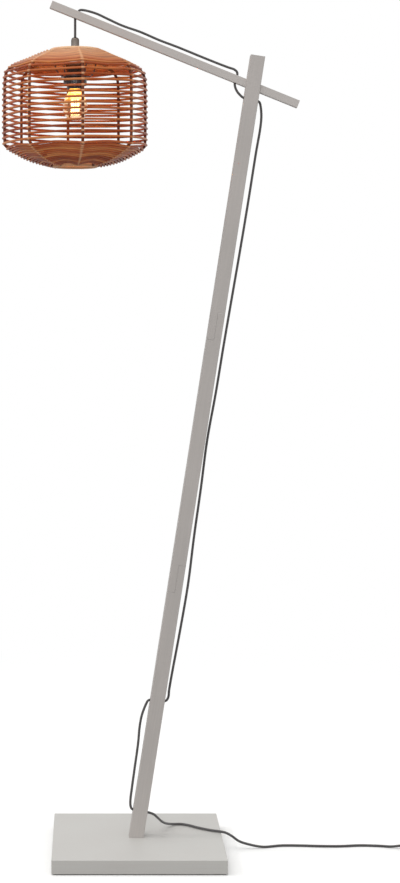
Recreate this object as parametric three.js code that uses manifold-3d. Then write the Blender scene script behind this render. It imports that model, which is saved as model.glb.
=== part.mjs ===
// A free-standing floor lamp: a square base plate, a leaning three-piece mast joined by half laps,
// a boom through a slanted mortise near the mast's top, and a round woven cane shade that hangs from
// the boom's end on the lamp's own textile lead.
// Millimetres. +Z is up, +X is to the right, +Y is away from the viewer, and the origin is on the
// floor under the middle of the base.
import * as THREE from 'three';
import { mergeVertices } from 'three/addons/utils/BufferGeometryUtils.js';
import Module from 'manifold-3d';

const wasm = await Module();
wasm.setup();

// Fits and cuts
const gap = 0.3; // between two pieces that touch
const overrun = 5; // how far a cut runs past the face that it opens

// Base
const feltThickness = 2;
const feltInset = 5;
const baseWidth = 412;
const baseDepth = 412;
const baseThickness = 33;
const baseEdge = 1.2; // the softened edge

// Mast
const mastSide = 35;
const mastLength = 1925;
const mastLean = 8.85; // degrees from upright, towards the right
const mastFootX = -3;
const mastEdge = 0.8;
const lapLength = 67;
const mastJointShares = [0.348, 0.6706]; // of its length, where the lower and middle tongues end
const mastCordBore = 10;
const lowCordHole = 61; // along the mast
const midCordHole = 334;
const topCordHoleDrop = 33; // below the point where the boom crosses

// Boom
const boomSide = 19;
const boomTilt = 22; // degrees below level, towards the right
const boomDrop = 74; // from the mast's top to the point where the boom crosses
const boomReach = 531; // from the crossing to the pendant's end
const boomTail = 119;
const boomCordBore = 9;
const pendantHoleInset = 67; // from the boom's left end
const returnHoleOffset = 45; // from the crossing
const boomEdge = 0.6;

// Screws and inserts
const footBoltSpacing = 18;
const footBoltRadius = 3;
const footBoltLength = 52;
const footHeadRadius = 5;
const footHeadHeight = 6;
const footSocketRadius = 2.4;
const footSocketDepth = 3;
const footHeadRecess = 1.2; // below the plate's underside
const footWasherRadius = 6.2;
const footWasherThickness = 1.6;
const footInsertWall = 1.8;
const footInsertLength = 24;
const lapScrewSpacing = 32;
const lapScrewRadius = 2.8;
const lapHeadRadius = 4.8;
const lapHeadHeight = 5;
const lapHeadRecess = 0.6;
const lapSocketRadius = 2;
const lapSocketDepth = 2.6;
const lapInsertWall = 1.4;
const lapInsertLength = 12;
const grubRadius = 2.5;
const grubRecess = 0.6;
const grubSocketRadius = 1.3;
const grubSocketDepth = 3;
const grubInsertWall = 1.2;

// Lampholder, measured down from the boom's underside at the pendant hole
const dropLength = 46; // free lead between the boom and the cap
const leadInCap = 26;
const capBoreSlack = 0.3;
const capNeckRadius = 9.75;
const capNeckLength = 46;
const capDomeHeight = 7;
const capBellRadius = 23;
const capBellHeight = 20;
const capBellSkirt = 12;
const capWall = 2;
const gripScrewRadius = 1.5;
const gripScrewHead = 2.4;
const gripScrewHeadHeight = 1.6;
const gripScrewDrop = 16; // below the cap's top
const shellRadius = 20;
const shellWall = 1.5;
const shellCollar = 12.5;
const shellFlangeRadius = 23.5;
const shellFlangeThickness = 4;
const shellThreadLength = 32;
const skirtRadius = 28.5;
const skirtHeight = 20;
const skirtWall = 2;
const skirtFloor = 3.4;
const insertTopSlack = 1.4;
const insertFloor = 10;
const insertHeight = 24;
const insertWall = 3;
const contactRadius = 5;
const contactThickness = 1.6;
const threadRadius = 13.7; // inside
const threadWall = 1.1;
const threadLength = 30;
const threadDrop = 2.4;

// Bulb
const bulbRadius = 30;
const bulbLength = 111;
const bulbCapRadius = 13.2;
const bulbCapLength = 27;
const bulbCapWall = 0.8;
const bulbTipRadius = 4.5;
const bulbTipHeight = 2.4;
const bulbCapShoulder = 4;
const glassWall = 1;
const glassInCap = 18;
const stemRadius = 2.6;
const stemDiscThickness = 2;
const cageRadius = 9.5;
const cageRodRadius = 0.9;
const cageRods = 6;
const cageDrop = 58; // from the bulb's tip
const cageLength = 42;
const cageDiscThickness = 1.2;

// Shade
const rimDrop = 74; // from the boom's underside to the shade's top rim
const shadeHeight = 290;
const shadeRadius = 175;
const topRimRadius = 62.5;
const bottomRimRadius = 56;
const shoulderHeight = 90; // height of the cone and its round shoulder
const bowlHeight = 60;
const strand = 5.4;
const strandSlack = 1; // between the open side's strand and the ribs, for the ribs' slope
const ribRadius = 3.5;
const ribSeat = 1.2; // from the middle of a rim's wire to a rib's end
const rimWireRadius = 2.5;
const ribCount = 8;
const ribTurn = 6.4; // degrees that the first rib stands to the right of the front
const rimWrapRadius = 4.4;
const rimOpenAngle = 160; // degrees of the binding's section that are open
const bindingSteps = 5;
const strandCount = 2; // that wind down the open side, from ribs that face each other
const strandStartRib = 3;
const strandDip = 6; // towards the axis, halfway between two ribs
const courseCount = 13;
const courseClear = 9; // from the dense weave's edges to the middle of the open side's strand
const stepsPerBay = 3; // a bay lies between two ribs
const courseSides = 4;
const hubRadius = 35;
const hubThickness = 2;
const armRadius = 2;
const armCount = 4;

// Lead
const cordDiameter = 6;
const coilTurns = 6;
const coilRadius = 40; // centre of the outer turn
const coilPitch = 6.6;
const coilClimb = 0.5; // turns over which it climbs a layer
const coilStepsPerTurn = 24;
const coilSides = 6;
const coilX = 762;
const coilY = -75;
const coilZ = 3.5;

// Foot switch
const switchX = 682; // where its body starts
const switchY = 12;
const switchLength = 76;
const switchWidth = 44;
const switchCorner = 12;
const switchBaseHeight = 8;
const switchCoverHeight = 14;
const switchWall = 2;
const switchFloor = 3.4;
const switchEdge = 1.5;
const switchCordZ = 8.8;
const switchButtonRadius = 14;
const switchButtonRise = 4;
const switchButtonEdge = 1.6;
const switchButtonFlange = 1.4;
const switchSpringRadius = 6;
const switchSpringWire = 0.6; // the wire's radius
const switchSpringTurns = 4;
const springStepsPerTurn = 8;
const springSides = 5;
const switchScrewRadius = 1.5;
const switchScrewHead = 3;
const switchScrewHeadHeight = 1.6;
const switchScrewLength = 13;
const switchScrewInset = 9;
const switchBossRadius = 3.6;
const reliefLength = 20;
const reliefTipRadius = 3.7;
const reliefRootRadius = 4.6;
const reliefCollarRadius = 5;
const reliefCollar = 1.6;

// Plug
const plugX = 802;
const plugY = -113.3; // where its strain relief starts, and it points to the front
const plugZ = 7.2;
const plugWidth = 35;
const plugThickness = 13.8;
const plugLength = 34;
const plugTailWidth = 17;
const plugShoulderShare = 0.45;
const plugEdge = 1.5;
const plugReliefLength = 24;
const plugPinRadius = 2;
const plugPinSpacing = 18.6;
const plugPinLength = 19;
const plugPinSeat = 5;

// Segments round a turned piece
const medium = 20;
const coarse = 10;
const wireSides = 5;

// Colours and surfaces
const surface = (color, roughness, metalness = 0) =>
  new THREE.MeshStandardMaterial({ color, roughness, metalness });
const paintedWood = surface(0xaba69f, 0.6);
const feltCloth = surface(0x3a3836, 0.95);
const zincSteel = surface(0xb4b6b8, 0.35, 1);
const yellowBrass = surface(0xc9a24e, 0.35, 1);
const blackNickel = surface(0x2b2a2c, 0.25, 1);
const blackPlastic = surface(0x1c1c1d, 0.45);
const whiteCeramic = surface(0xe9e6df, 0.35);
const clearGlass = surface(0xffd89a, 0.05);
const glowingFilament = surface(0xffb45a, 0.4);
const caneStrand = surface(0xb0602f, 0.6);
const lacqueredWire = surface(0x5a2c16, 0.5, 0.5);
const textileCord = surface(0x3c3b3c, 0.9);

const lamp = new THREE.Group();
const degrees = THREE.MathUtils.degToRad;

// Solids

function solid(geometry) {
  const bare = geometry.clone();
  for (const name of Object.keys(bare.attributes)) {
    if (name !== 'position') bare.deleteAttribute(name);
  }
  const merged = mergeVertices(bare);
  const index = merged.index.array;
  const triangles = [];
  for (let i = 0; i < index.length; i += 3) {
    const [a, b, c] = index.subarray(i, i + 3);
    if (a !== b && b !== c && c !== a) triangles.push(a, b, c);
  }
  return new wasm.Manifold(new wasm.Mesh({
    numProp: 3,
    vertProperties: new Float32Array(merged.attributes.position.array),
    triVerts: new Uint32Array(triangles),
  }));
}

function geometryOf(manifold) {
  const { vertProperties, triVerts } = manifold.getMesh();
  const geometry = new THREE.BufferGeometry();
  geometry.setAttribute('position', new THREE.BufferAttribute(vertProperties, 3));
  geometry.setIndex(new THREE.BufferAttribute(triVerts, 1));
  return geometry;
}

function cut(body, ...cutters) {
  return geometryOf(cutters.reduce((left, cutter) => left.subtract(solid(cutter)), solid(body)));
}

function join(first, ...others) {
  return geometryOf(others.reduce((sum, other) => sum.add(solid(other)), solid(first)));
}

function add(parent, name, geometry, material) {
  const mesh = new THREE.Mesh(geometry, material);
  mesh.name = name;
  parent.add(mesh);
  return mesh;
}

// A block between two corners.
function block(low, high) {
  const size = high.map((value, axis) => value - low[axis]);
  const middle = high.map((value, axis) => (value + low[axis]) / 2);
  return new THREE.BoxGeometry(...size).translate(...middle);
}

// A square bar along Z with softened long edges.
function bar(side, edge, from, to) {
  const half = side / 2;
  const inner = half - edge;
  const outline = new THREE.Shape([
    [inner, -half], [half, -inner], [half, inner], [inner, half],
    [-inner, half], [-half, inner], [-half, -inner], [-inner, -half],
  ].map(([x, y]) => new THREE.Vector2(x, y)));
  return new THREE.ExtrudeGeometry(outline, { depth: to - from, bevelEnabled: false })
    .translate(0, 0, from);
}

function rod(radius, from, to, sides = coarse) {
  return new THREE.CylinderGeometry(radius, radius, to - from, sides)
    .rotateX(Math.PI / 2)
    .translate(0, 0, (from + to) / 2);
}

// A rod along X or Y.
const rodX = (radius, from, to, sides) => rod(radius, from, to, sides).rotateY(Math.PI / 2);
const rodY = (radius, from, to, sides) => rod(radius, from, to, sides).rotateX(-Math.PI / 2);

// A turned piece from its closed section of [radius, z] points.
function turned(section, segments = medium) {
  const area = section.reduce((sum, [r, z], i) => {
    const [nextR, nextZ] = section[(i + 1) % section.length];
    return sum + r * nextZ - nextR * z;
  }, 0);
  const ordered = area > 0 ? section : [...section].reverse();
  const points = [...ordered, ordered[0]].map(([r, z]) => new THREE.Vector2(r, z));
  return new THREE.LatheGeometry(points, segments).rotateX(Math.PI / 2);
}

// A tube's round section, with one side down.
function roundSection(radius, sides) {
  const turn = Math.PI / sides;
  const points = Array.from({ length: sides }, (_, i) => {
    const angle = turn + (i * 2 * Math.PI) / sides;
    return new THREE.Vector2(radius * Math.cos(angle), radius * Math.sin(angle));
  });
  return new THREE.Shape(points);
}

// A smooth curve whose steps fall evenly between its own points, so bends set close together get
// short steps and straight runs get long ones.
class SteppedCurve extends THREE.CatmullRomCurve3 {
  getUtoTmapping(u) {
    return u;
  }
}

function tube(points, radius, sides = 8, stepsPerSpan = 1) {
  const curve = new SteppedCurve(points.map((point) => new THREE.Vector3(...point)));
  return new THREE.ExtrudeGeometry(roundSection(radius, sides), {
    steps: (points.length - 1) * stepsPerSpan,
    extrudePath: curve,
  });
}

// A plate with round corners and softened edges, standing on z = from.
function roundedPlate(low, high, corner, from, to, edge) {
  const [x0, y0] = low;
  const [x1, y1] = high;
  const outline = new THREE.Shape();
  outline.moveTo(x0 + corner, y0);
  outline.lineTo(x1 - corner, y0);
  outline.absarc(x1 - corner, y0 + corner, corner, -Math.PI / 2, 0);
  outline.lineTo(x1, y1 - corner);
  outline.absarc(x1 - corner, y1 - corner, corner, 0, Math.PI / 2);
  outline.lineTo(x0 + corner, y1);
  outline.absarc(x0 + corner, y1 - corner, corner, Math.PI / 2, Math.PI);
  outline.lineTo(x0, y0 + corner);
  outline.absarc(x0 + corner, y0 + corner, corner, Math.PI, Math.PI * 1.5);
  return new THREE.ExtrudeGeometry(outline, {
    depth: to - from - 2 * edge, bevelEnabled: edge > 0, bevelThickness: edge, bevelSize: edge,
    bevelOffset: -edge, bevelSegments: 1, curveSegments: 3,
  }).translate(0, 0, from + edge);
}

// Base

const plateBottom = feltThickness + gap;
const plateTop = plateBottom + baseThickness;
const footHeadBore = footWasherRadius + gap;
const washerTop = plateBottom + footHeadRecess + footHeadHeight + gap + footWasherThickness;
const footBoltPlaces = [['front', -footBoltSpacing / 2], ['rear', footBoltSpacing / 2]];

function makeBase() {
  const felt = block(
    [-baseWidth / 2 + feltInset, -baseDepth / 2 + feltInset, 0],
    [baseWidth / 2 - feltInset, baseDepth / 2 - feltInset, feltThickness],
  );
  const headHoles = footBoltPlaces.map(([, y]) =>
    rod(footHeadBore, -overrun, feltThickness + overrun).translate(mastFootX, y, 0));
  add(lamp, 'felt_sheet', cut(felt, ...headHoles), feltCloth);

  const outline = new THREE.Shape();
  const x = baseWidth / 2 - baseEdge;
  const y = baseDepth / 2 - baseEdge;
  outline.moveTo(-x, -y);
  outline.lineTo(x, -y);
  outline.lineTo(x, y);
  outline.lineTo(-x, y);
  const plate = new THREE.ExtrudeGeometry(outline, {
    depth: baseThickness - 2 * baseEdge,
    bevelThickness: baseEdge,
    bevelSize: baseEdge,
    bevelSegments: 2,
  }).translate(0, 0, plateBottom + baseEdge);
  const bores = footBoltPlaces.flatMap(([, y]) => [
    rod(footBoltRadius + gap, plateBottom - overrun, plateTop + overrun).translate(mastFootX, y, 0),
    rod(footHeadBore, plateBottom - overrun, washerTop + gap).translate(mastFootX, y, 0),
  ]);
  add(lamp, 'base_plate', cut(plate, ...bores), paintedWood);
}

// Mast, in a frame that leans: its Z runs up the mast and its origin is the foot's middle

const mast = new THREE.Group();
mast.position.set(mastFootX, 0, plateTop + gap);
mast.rotation.y = degrees(mastLean);
lamp.add(mast);
mast.updateMatrixWorld(true);
const intoMast = mast.matrixWorld.clone().invert();

const boomCrossing = mastLength - boomDrop;
const topCordHole = boomCrossing - topCordHoleDrop;
const lapTops = mastJointShares.map((share) => share * mastLength);
const [lowerMastTop, middleMastTop] = lapTops;
const lapScrewPlaces = lapTops.flatMap((top) => [
  top - lapLength / 2 - lapScrewSpacing / 2,
  top - lapLength / 2 + lapScrewSpacing / 2,
]);
const lapInsertRadius = lapScrewRadius + gap + lapInsertWall;
const footInsertRadius = footBoltRadius + gap + footInsertWall;
const footBoltTop = washerTop - footWasherThickness - gap + footBoltLength;

// Half of a bar's thickness, on its left or right side, over one lap, with the gap at its faces.
function lapHalf(side, top) {
  const wide = mastSide;
  const [low, high] = side === 'left' ? [-wide, gap / 2] : [-gap / 2, wide];
  return block([low, -wide, top - lapLength], [high, wide, top + gap]);
}

function lapScrewBores(side, place) {
  const half = mastSide / 2;
  if (side === 'left') {
    return rodX(lapInsertRadius + gap, -lapInsertLength - 2 * gap, overrun).translate(0, 0, place);
  }
  const headFloor = half - lapHeadRecess - lapHeadHeight - gap;
  return geometryOf(solid(rodX(lapScrewRadius + gap, -overrun, half)).add(
    solid(rodX(lapHeadRadius + gap, headFloor, half + overrun)),
  )).translate(0, 0, place);
}

function cordBore(height) {
  return rodX(mastCordBore / 2, -mastSide, mastSide).translate(0, 0, height);
}

function makeMast() {
  const [lowLaps, highLaps] = [lapScrewPlaces.slice(0, 2), lapScrewPlaces.slice(2)];
  const floorCut = block(
    [-mastSide * 2, -mastSide, -mastSide], [mastSide * 2, mastSide, plateTop + gap],
  ).applyMatrix4(intoMast);
  const footBores = footBoltPlaces.map(([, y]) =>
    rod(footInsertRadius + gap, plateTop - overrun, footBoltTop + 2 * gap)
      .translate(mastFootX, y, 0).applyMatrix4(intoMast));
  add(mast, 'mast_lower', cut(
    bar(mastSide, mastEdge, -mastSide, lowerMastTop), floorCut, ...footBores,
    lapHalf('left', lowerMastTop), ...lowLaps.map((place) => lapScrewBores('right', place)),
    cordBore(lowCordHole), cordBore(midCordHole),
  ), paintedWood);
  add(mast, 'mast_middle', cut(
    bar(mastSide, mastEdge, lowerMastTop - lapLength + gap, middleMastTop),
    lapHalf('right', lowerMastTop), lapHalf('left', middleMastTop),
    ...lowLaps.map((place) => lapScrewBores('left', place)),
    ...highLaps.map((place) => lapScrewBores('right', place)),
  ), paintedWood);

  const mortiseHalf = boomSide / 2 + gap;
  const mortise = block([-mastSide * 2, -mortiseHalf, -mortiseHalf], [mastSide * 2, mortiseHalf, mortiseHalf])
    .rotateY(degrees(boomTilt - mastLean)).translate(0, 0, boomCrossing);
  const grubBore = rodY(grubRadius + grubInsertWall + 2 * gap, 0, mastSide).translate(0, 0, boomCrossing);
  add(mast, 'mast_upper', cut(
    bar(mastSide, mastEdge, middleMastTop - lapLength + gap, mastLength),
    lapHalf('right', middleMastTop), ...highLaps.map((place) => lapScrewBores('left', place)),
    mortise, grubBore, cordBore(topCordHole),
  ), paintedWood);
}

// A cap screw's section: its shank points to +z from the underside of its head at z = 0.
function screwSection(shank, length, head, headHeight, socket, socketDepth) {
  return [
    [0, length], [shank, length], [shank, 0], [head, 0], [head, -headHeight],
    [socket, -headHeight], [socket, -headHeight + socketDepth], [0, -headHeight + socketDepth],
  ];
}

function makeFasteners() {
  const headTop = washerTop - footWasherThickness - gap;
  for (const [place, y] of footBoltPlaces) {
    add(lamp, `foot_bolt_${place}`, turned(screwSection(
      footBoltRadius, footBoltLength, footHeadRadius, footHeadHeight, footSocketRadius, footSocketDepth,
    ), coarse).translate(mastFootX, y, headTop), zincSteel);
    add(lamp, `foot_washer_${place}`, turned([
      [footBoltRadius + gap, headTop + gap], [footWasherRadius, headTop + gap],
      [footWasherRadius, washerTop], [footBoltRadius + gap, washerTop],
    ], coarse).translate(mastFootX, y, 0), zincSteel);
    add(lamp, `foot_insert_${place}`, turned([
      [footBoltRadius + gap, footBoltTop - footInsertLength],
      [footInsertRadius, footBoltTop - footInsertLength],
      [footInsertRadius, footBoltTop], [footBoltRadius + gap, footBoltTop],
    ], coarse).translate(mastFootX, y, 0), yellowBrass);
  }
  const headX = mastSide / 2 - lapHeadRecess - lapHeadHeight;
  lapScrewPlaces.forEach((place, i) => {
    add(mast, `lap_screw_${i + 1}`, turned(screwSection(
      lapScrewRadius, headX + lapInsertLength, lapHeadRadius, lapHeadHeight, lapSocketRadius, lapSocketDepth,
    ), coarse).rotateY(-Math.PI / 2).translate(headX, 0, place), zincSteel);
    add(mast, `lap_insert_${i + 1}`, turned([
      [lapScrewRadius + gap, gap], [lapInsertRadius, gap],
      [lapInsertRadius, lapInsertLength], [lapScrewRadius + gap, lapInsertLength],
    ], coarse).rotateY(-Math.PI / 2).translate(0, 0, place), yellowBrass);
  });
  const boomBack = boomSide / 2 + gap;
  const mastBack = mastSide / 2 - grubRecess;
  add(mast, 'boom_grub_screw', turned([
    [0, boomBack], [grubRadius, boomBack], [grubRadius, mastBack], [grubSocketRadius, mastBack],
    [grubSocketRadius, mastBack - grubSocketDepth], [0, mastBack - grubSocketDepth],
  ], coarse).rotateX(-Math.PI / 2).translate(0, 0, boomCrossing), zincSteel);
  add(mast, 'boom_grub_insert', turned([
    [grubRadius + gap, boomBack + gap], [grubRadius + gap + grubInsertWall, boomBack + gap],
    [grubRadius + gap + grubInsertWall, mastBack], [grubRadius + gap, mastBack],
  ], coarse).rotateX(-Math.PI / 2).translate(0, 0, boomCrossing), yellowBrass);
}

// Boom, in a frame whose X runs down along it from the crossing

const boomFrame = new THREE.Group();
boomFrame.position.set(0, 0, boomCrossing).applyMatrix4(mast.matrixWorld);
boomFrame.rotation.y = degrees(boomTilt);
lamp.add(boomFrame);
boomFrame.updateMatrixWorld(true);

const pendantHole = -boomReach + pendantHoleInset;

function makeBoom() {
  const holes = [pendantHole, -returnHoleOffset].map((x) =>
    rod(boomCordBore / 2, -boomSide, boomSide).translate(x, 0, 0));
  const stick = bar(boomSide, boomEdge, -boomReach, boomTail).rotateY(Math.PI / 2);
  add(boomFrame, 'boom', cut(stick, ...holes), paintedWood);
}

// Pendant, in an upright frame whose origin is the lower mouth of the boom's pendant hole

const pendant = new THREE.Group();
pendant.position.set(pendantHole, 0, -boomSide / 2).applyMatrix4(boomFrame.matrixWorld);
lamp.add(pendant);

const capTop = -dropLength;
const capNeckBottom = capTop - capNeckLength;
const capBellTop = capNeckBottom - capBellHeight;
const capBottom = capBellTop - capBellSkirt;
const flangeTop = capBottom - gap - shellCollar;
const hubTop = flangeTop - shellFlangeThickness - gap;
const hubBottom = hubTop - hubThickness;
const shellBottom = flangeTop - shellFlangeThickness - shellThreadLength;
const insertTop = capBottom - insertTopSlack;
const contactTop = insertTop - insertFloor - gap;
const bulbTop = contactTop - contactThickness - gap;
const shellInside = shellRadius - shellWall;

// The cap's round top and its bell, as shares of their own radius and height.
const capDomeShares = [[0.6, 0.12], [0.88, 0.45]];
const capBellShares = [[0.51, 0.3], [0.85, 0.75]];

function makeHolder() {
  const bore = cordDiameter / 2 + capBoreSlack;
  const neckInside = capNeckRadius - capWall;
  const dome = capDomeShares.map(([across, down]) =>
    [capNeckRadius * across, capTop - capDomeHeight * down]);
  const bell = capBellShares.map(([across, down]) =>
    [capBellRadius * across, capNeckBottom - capBellHeight * down]);
  add(pendant, 'holder_cap', cut(turned([
    [bore, capTop], ...dome, [capNeckRadius, capTop - capDomeHeight],
    [capNeckRadius, capNeckBottom], ...bell, [capBellRadius, capBellTop],
    [capBellRadius, capBottom], [capBellRadius - capWall, capBottom],
    [capBellRadius - capWall, capBellTop - capWall], [neckInside, capNeckBottom - capWall],
    [neckInside, capTop - capDomeHeight - 2 * capWall], [bore, capTop - capDomeHeight],
  ]), rodY(gripScrewRadius + gap, 0, capNeckRadius + overrun).translate(0, 0, capTop - gripScrewDrop)),
  blackNickel);
  add(pendant, 'cord_grip_screw', turned([
    [0, cordDiameter / 2 + gap], [gripScrewRadius, cordDiameter / 2 + gap],
    [gripScrewRadius, capNeckRadius + gap], [gripScrewHead, capNeckRadius + gap],
    [gripScrewHead, capNeckRadius + gripScrewHeadHeight], [0, capNeckRadius + gripScrewHeadHeight],
  ], coarse).rotateX(-Math.PI / 2).translate(0, 0, capTop - gripScrewDrop), blackPlastic);
  const collarRadius = capBellRadius - capWall / 2;
  add(pendant, 'holder_shell', turned([
    [collarRadius, capBottom - gap], [collarRadius, flangeTop], [shellFlangeRadius, flangeTop],
    [shellFlangeRadius, flangeTop - shellFlangeThickness], [shellRadius, flangeTop - shellFlangeThickness],
    [shellRadius, shellBottom], [shellInside, shellBottom], [shellInside, capBottom - gap],
  ]), blackPlastic);
  const skirtTop = hubBottom - gap;
  add(pendant, 'shade_ring', turned([
    [shellRadius + gap, skirtTop], [skirtRadius, skirtTop], [skirtRadius, skirtTop - skirtHeight],
    [skirtRadius - skirtWall, skirtTop - skirtHeight], [skirtRadius - skirtWall, skirtTop - skirtFloor],
    [shellRadius + gap, skirtTop - skirtFloor],
  ]), blackPlastic);
  const insertRadius = shellInside - gap;
  add(pendant, 'holder_insert', turned([
    [0, insertTop], [insertRadius, insertTop], [insertRadius, insertTop - insertHeight],
    [insertRadius - insertWall, insertTop - insertHeight],
    [insertRadius - insertWall, insertTop - insertFloor], [0, insertTop - insertFloor],
  ]), whiteCeramic);
  add(pendant, 'centre_contact', turned([
    [0, contactTop], [contactRadius, contactTop], [contactRadius, contactTop - contactThickness],
    [0, contactTop - contactThickness],
  ], coarse), yellowBrass);
  const threadTop = insertTop - insertFloor - threadDrop;
  add(pendant, 'lamp_thread', turned([
    [threadRadius, threadTop], [threadRadius + threadWall, threadTop],
    [threadRadius + threadWall, threadTop - threadLength], [threadRadius, threadTop - threadLength],
  ]), yellowBrass);
}

// Bulb

// The glass's outside below the cap, as shares of its radius and of its free height.
const glassShares = [
  [0.48, 0.13], [0.77, 0.32], [0.97, 0.51], [0.98, 0.7], [0.78, 0.88], [0.4, 0.98], [0, 1],
];

function makeBulb() {
  const capBase = bulbTop - bulbTipHeight - bulbCapShoulder;
  const capEnd = bulbTop - bulbCapLength;
  const capInside = bulbCapRadius - bulbCapWall;
  add(pendant, 'bulb_cap', turned([
    [0, bulbTop], [bulbTipRadius, bulbTop], [bulbTipRadius, bulbTop - bulbTipHeight],
    [bulbCapRadius, capBase], [bulbCapRadius, capEnd], [capInside, capEnd],
    [capInside, capBase - bulbCapWall], [0, capBase - bulbCapWall],
  ]), zincSteel);
  const neck = capInside - gap;
  const neckTop = capEnd + glassInCap;
  const freeHeight = bulbLength - bulbCapLength;
  const outside = [
    [neck, neckTop], [neck, capEnd],
    ...glassShares.map(([across, down]) => [across * bulbRadius, capEnd - down * freeHeight]),
  ];
  const inside = inset(outside, glassWall);
  inside[inside.length - 1] = [0, capEnd - freeHeight + glassWall];
  add(pendant, 'bulb_glass', turned([...outside, ...inside.reverse()]), clearGlass);

  const discTop = neckTop - gap;
  const cageTop = bulbTop - cageDrop;
  const cageBottom = cageTop - cageLength;
  const rods = Array.from({ length: cageRods }, (_, i) =>
    rod(cageRodRadius, cageBottom, cageTop, 4).translate(cageRadius, 0, 0)
      .rotateZ((i * 2 * Math.PI) / cageRods));
  const cageDisc = (top) => rod(cageRadius + cageRodRadius, top - cageDiscThickness, top, coarse);
  add(pendant, 'bulb_filament', join(
    rod(stemRadius, cageBottom, discTop, 6),
    rod(neck - glassWall - gap, discTop - stemDiscThickness, discTop, coarse),
    cageDisc(cageTop), cageDisc(cageBottom + cageDiscThickness), ...rods,
  ), glowingFilament);
}

// Shade

// The outline's top and bottom curves, as shares across from the rim to the side and of the
// height that the curve takes.
const topCurveShares = [
  [0, 0], [0.24, 0.12], [0.45, 0.24], [0.68, 0.36], [0.8, 0.43], [0.93, 0.57],
  [0.972, 0.67], [0.99, 0.8], [1, 1],
];
const bottomCurveShares = [
  [1, 0], [0.985, 0.16], [0.91, 0.3], [0.74, 0.5], [0.56, 0.69], [0.38, 0.83], [0.19, 0.93], [0, 1],
];
// The open side starts and ends at these places, counted from the two curves' meeting.
const openAbove = 4;
const openBelow = 1;
const shadeTop = -rimDrop;
const shadeBottom = shadeTop - shadeHeight;
const topOutline = topCurveShares.map(([across, down]) => [
  topRimRadius + across * (shadeRadius - topRimRadius), shadeTop - down * shoulderHeight,
]);
const bottomOutline = bottomCurveShares.map(([across, down]) => [
  bottomRimRadius + across * (shadeRadius - bottomRimRadius),
  shadeBottom + bowlHeight - down * bowlHeight,
]);
// An outline's points moved inwards by one distance. The outline runs from top to bottom.
function inset(points, distance) {
  return points.map(([r, z], i) => {
    const [beforeR, beforeZ] = points[Math.max(i - 1, 0)];
    const [afterR, afterZ] = points[Math.min(i + 1, points.length - 1)];
    const run = Math.hypot(afterR - beforeR, afterZ - beforeZ);
    return [r + ((afterZ - beforeZ) / run) * distance, z - ((afterR - beforeR) / run) * distance];
  });
}

// The point on a line from one place to another, at a distance before the line's end.
function before([r0, z0], [r1, z1], distance) {
  const run = Math.hypot(r1 - r0, z1 - z0);
  return [r1 + ((r0 - r1) * distance) / run, z1 + ((z0 - z1) * distance) / run];
}

// The woven surface's outline. It stops short of both rims, and its curves meet at the widest place.
const rimClear = rimWrapRadius + strand;
const outline = [
  before(topOutline[1], topOutline[0], rimClear), ...topOutline.slice(1),
  ...bottomOutline.slice(0, -1), before(...bottomOutline.slice(-2), rimClear),
];
const innerOutline = inset(outline, strand);
const topRing = [topRimRadius - rimWrapRadius, shadeTop - rimWrapRadius];
const bottomRing = [bottomRimRadius - rimWrapRadius, shadeBottom + rimWrapRadius];
const ribLine = inset(outline, strand + gap + ribRadius);
const ribPath = [
  before(ribLine[0], topRing, ribSeat), ...ribLine,
  before(ribLine[ribLine.length - 1], bottomRing, ribSeat),
];

const around = (index) => degrees(ribTurn) + (index * 2 * Math.PI) / ribCount;

// A path of [radius, z] points as points in space at one angle to the right of the front.
const atAngle = (points, angle) =>
  points.map(([r, z]) => [r * Math.sin(angle), -r * Math.cos(angle), z]);

// An arm's bends, as shares of its way out from the hub and up to the top ring.
const armShares = [[0.45, 0.1], [0.82, 0.35], [0.98, 0.8]];

// A turned piece of the shade, with a corner of its section's ring at each rib.
const shadeSegments = ribCount * stepsPerBay;
const turnedShade = (section) => turned(section, shadeSegments).rotateZ(degrees(ribTurn));

function makeFrame() {
  const ring = ([radius, z]) =>
    new THREE.TorusGeometry(radius, rimWireRadius, wireSides, shadeSegments)
      .rotateZ(degrees(ribTurn)).translate(0, 0, z);
  const ribs = Array.from({ length: ribCount }, (_, i) =>
    tube(atAngle(ribPath, around(i)), ribRadius, wireSides));
  add(pendant, 'shade_frame', join(ring(topRing), ring(bottomRing), ...ribs), caneStrand);

  const [reach, armTop] = [topRing[0] + armRadius / 2, topRing[1] - rimWireRadius - gap];
  const rise = armTop - hubTop;
  const armPath = [
    [hubRadius - armRadius, hubTop - hubThickness / 2],
    ...armShares.map(([across, up]) => [hubRadius + (reach - hubRadius) * across, hubTop + rise * up]),
    [reach, armTop],
  ];
  const hub = turned([
    [shellRadius + gap, hubTop], [hubRadius, hubTop], [hubRadius, hubBottom], [shellRadius + gap, hubBottom],
  ]);
  const arms = Array.from({ length: armCount }, (_, i) =>
    tube(atAngle(armPath, around(0.5) + (i * 2 * Math.PI) / armCount), armRadius, wireSides));
  add(pendant, 'shade_spider', join(hub, ...arms), lacqueredWire);
}

// The binding over a rim: an open half round that faces away from where the ribs leave the ring.
function rimBinding([ringR, ringZ], [leaveR, leaveZ]) {
  const leaving = Math.atan2(leaveZ - ringZ, leaveR - ringR);
  const openHalf = degrees(rimOpenAngle / 2);
  const arc = (radius) => Array.from({ length: bindingSteps + 1 }, (_, i) => {
    const angle = leaving + openHalf + ((2 * Math.PI - 2 * openHalf) * i) / bindingSteps;
    return [ringR + radius * Math.cos(angle), ringZ + radius * Math.sin(angle)];
  });
  return turnedShade([...arc(rimWrapRadius), ...arc(rimWireRadius + gap).reverse()]);
}

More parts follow.
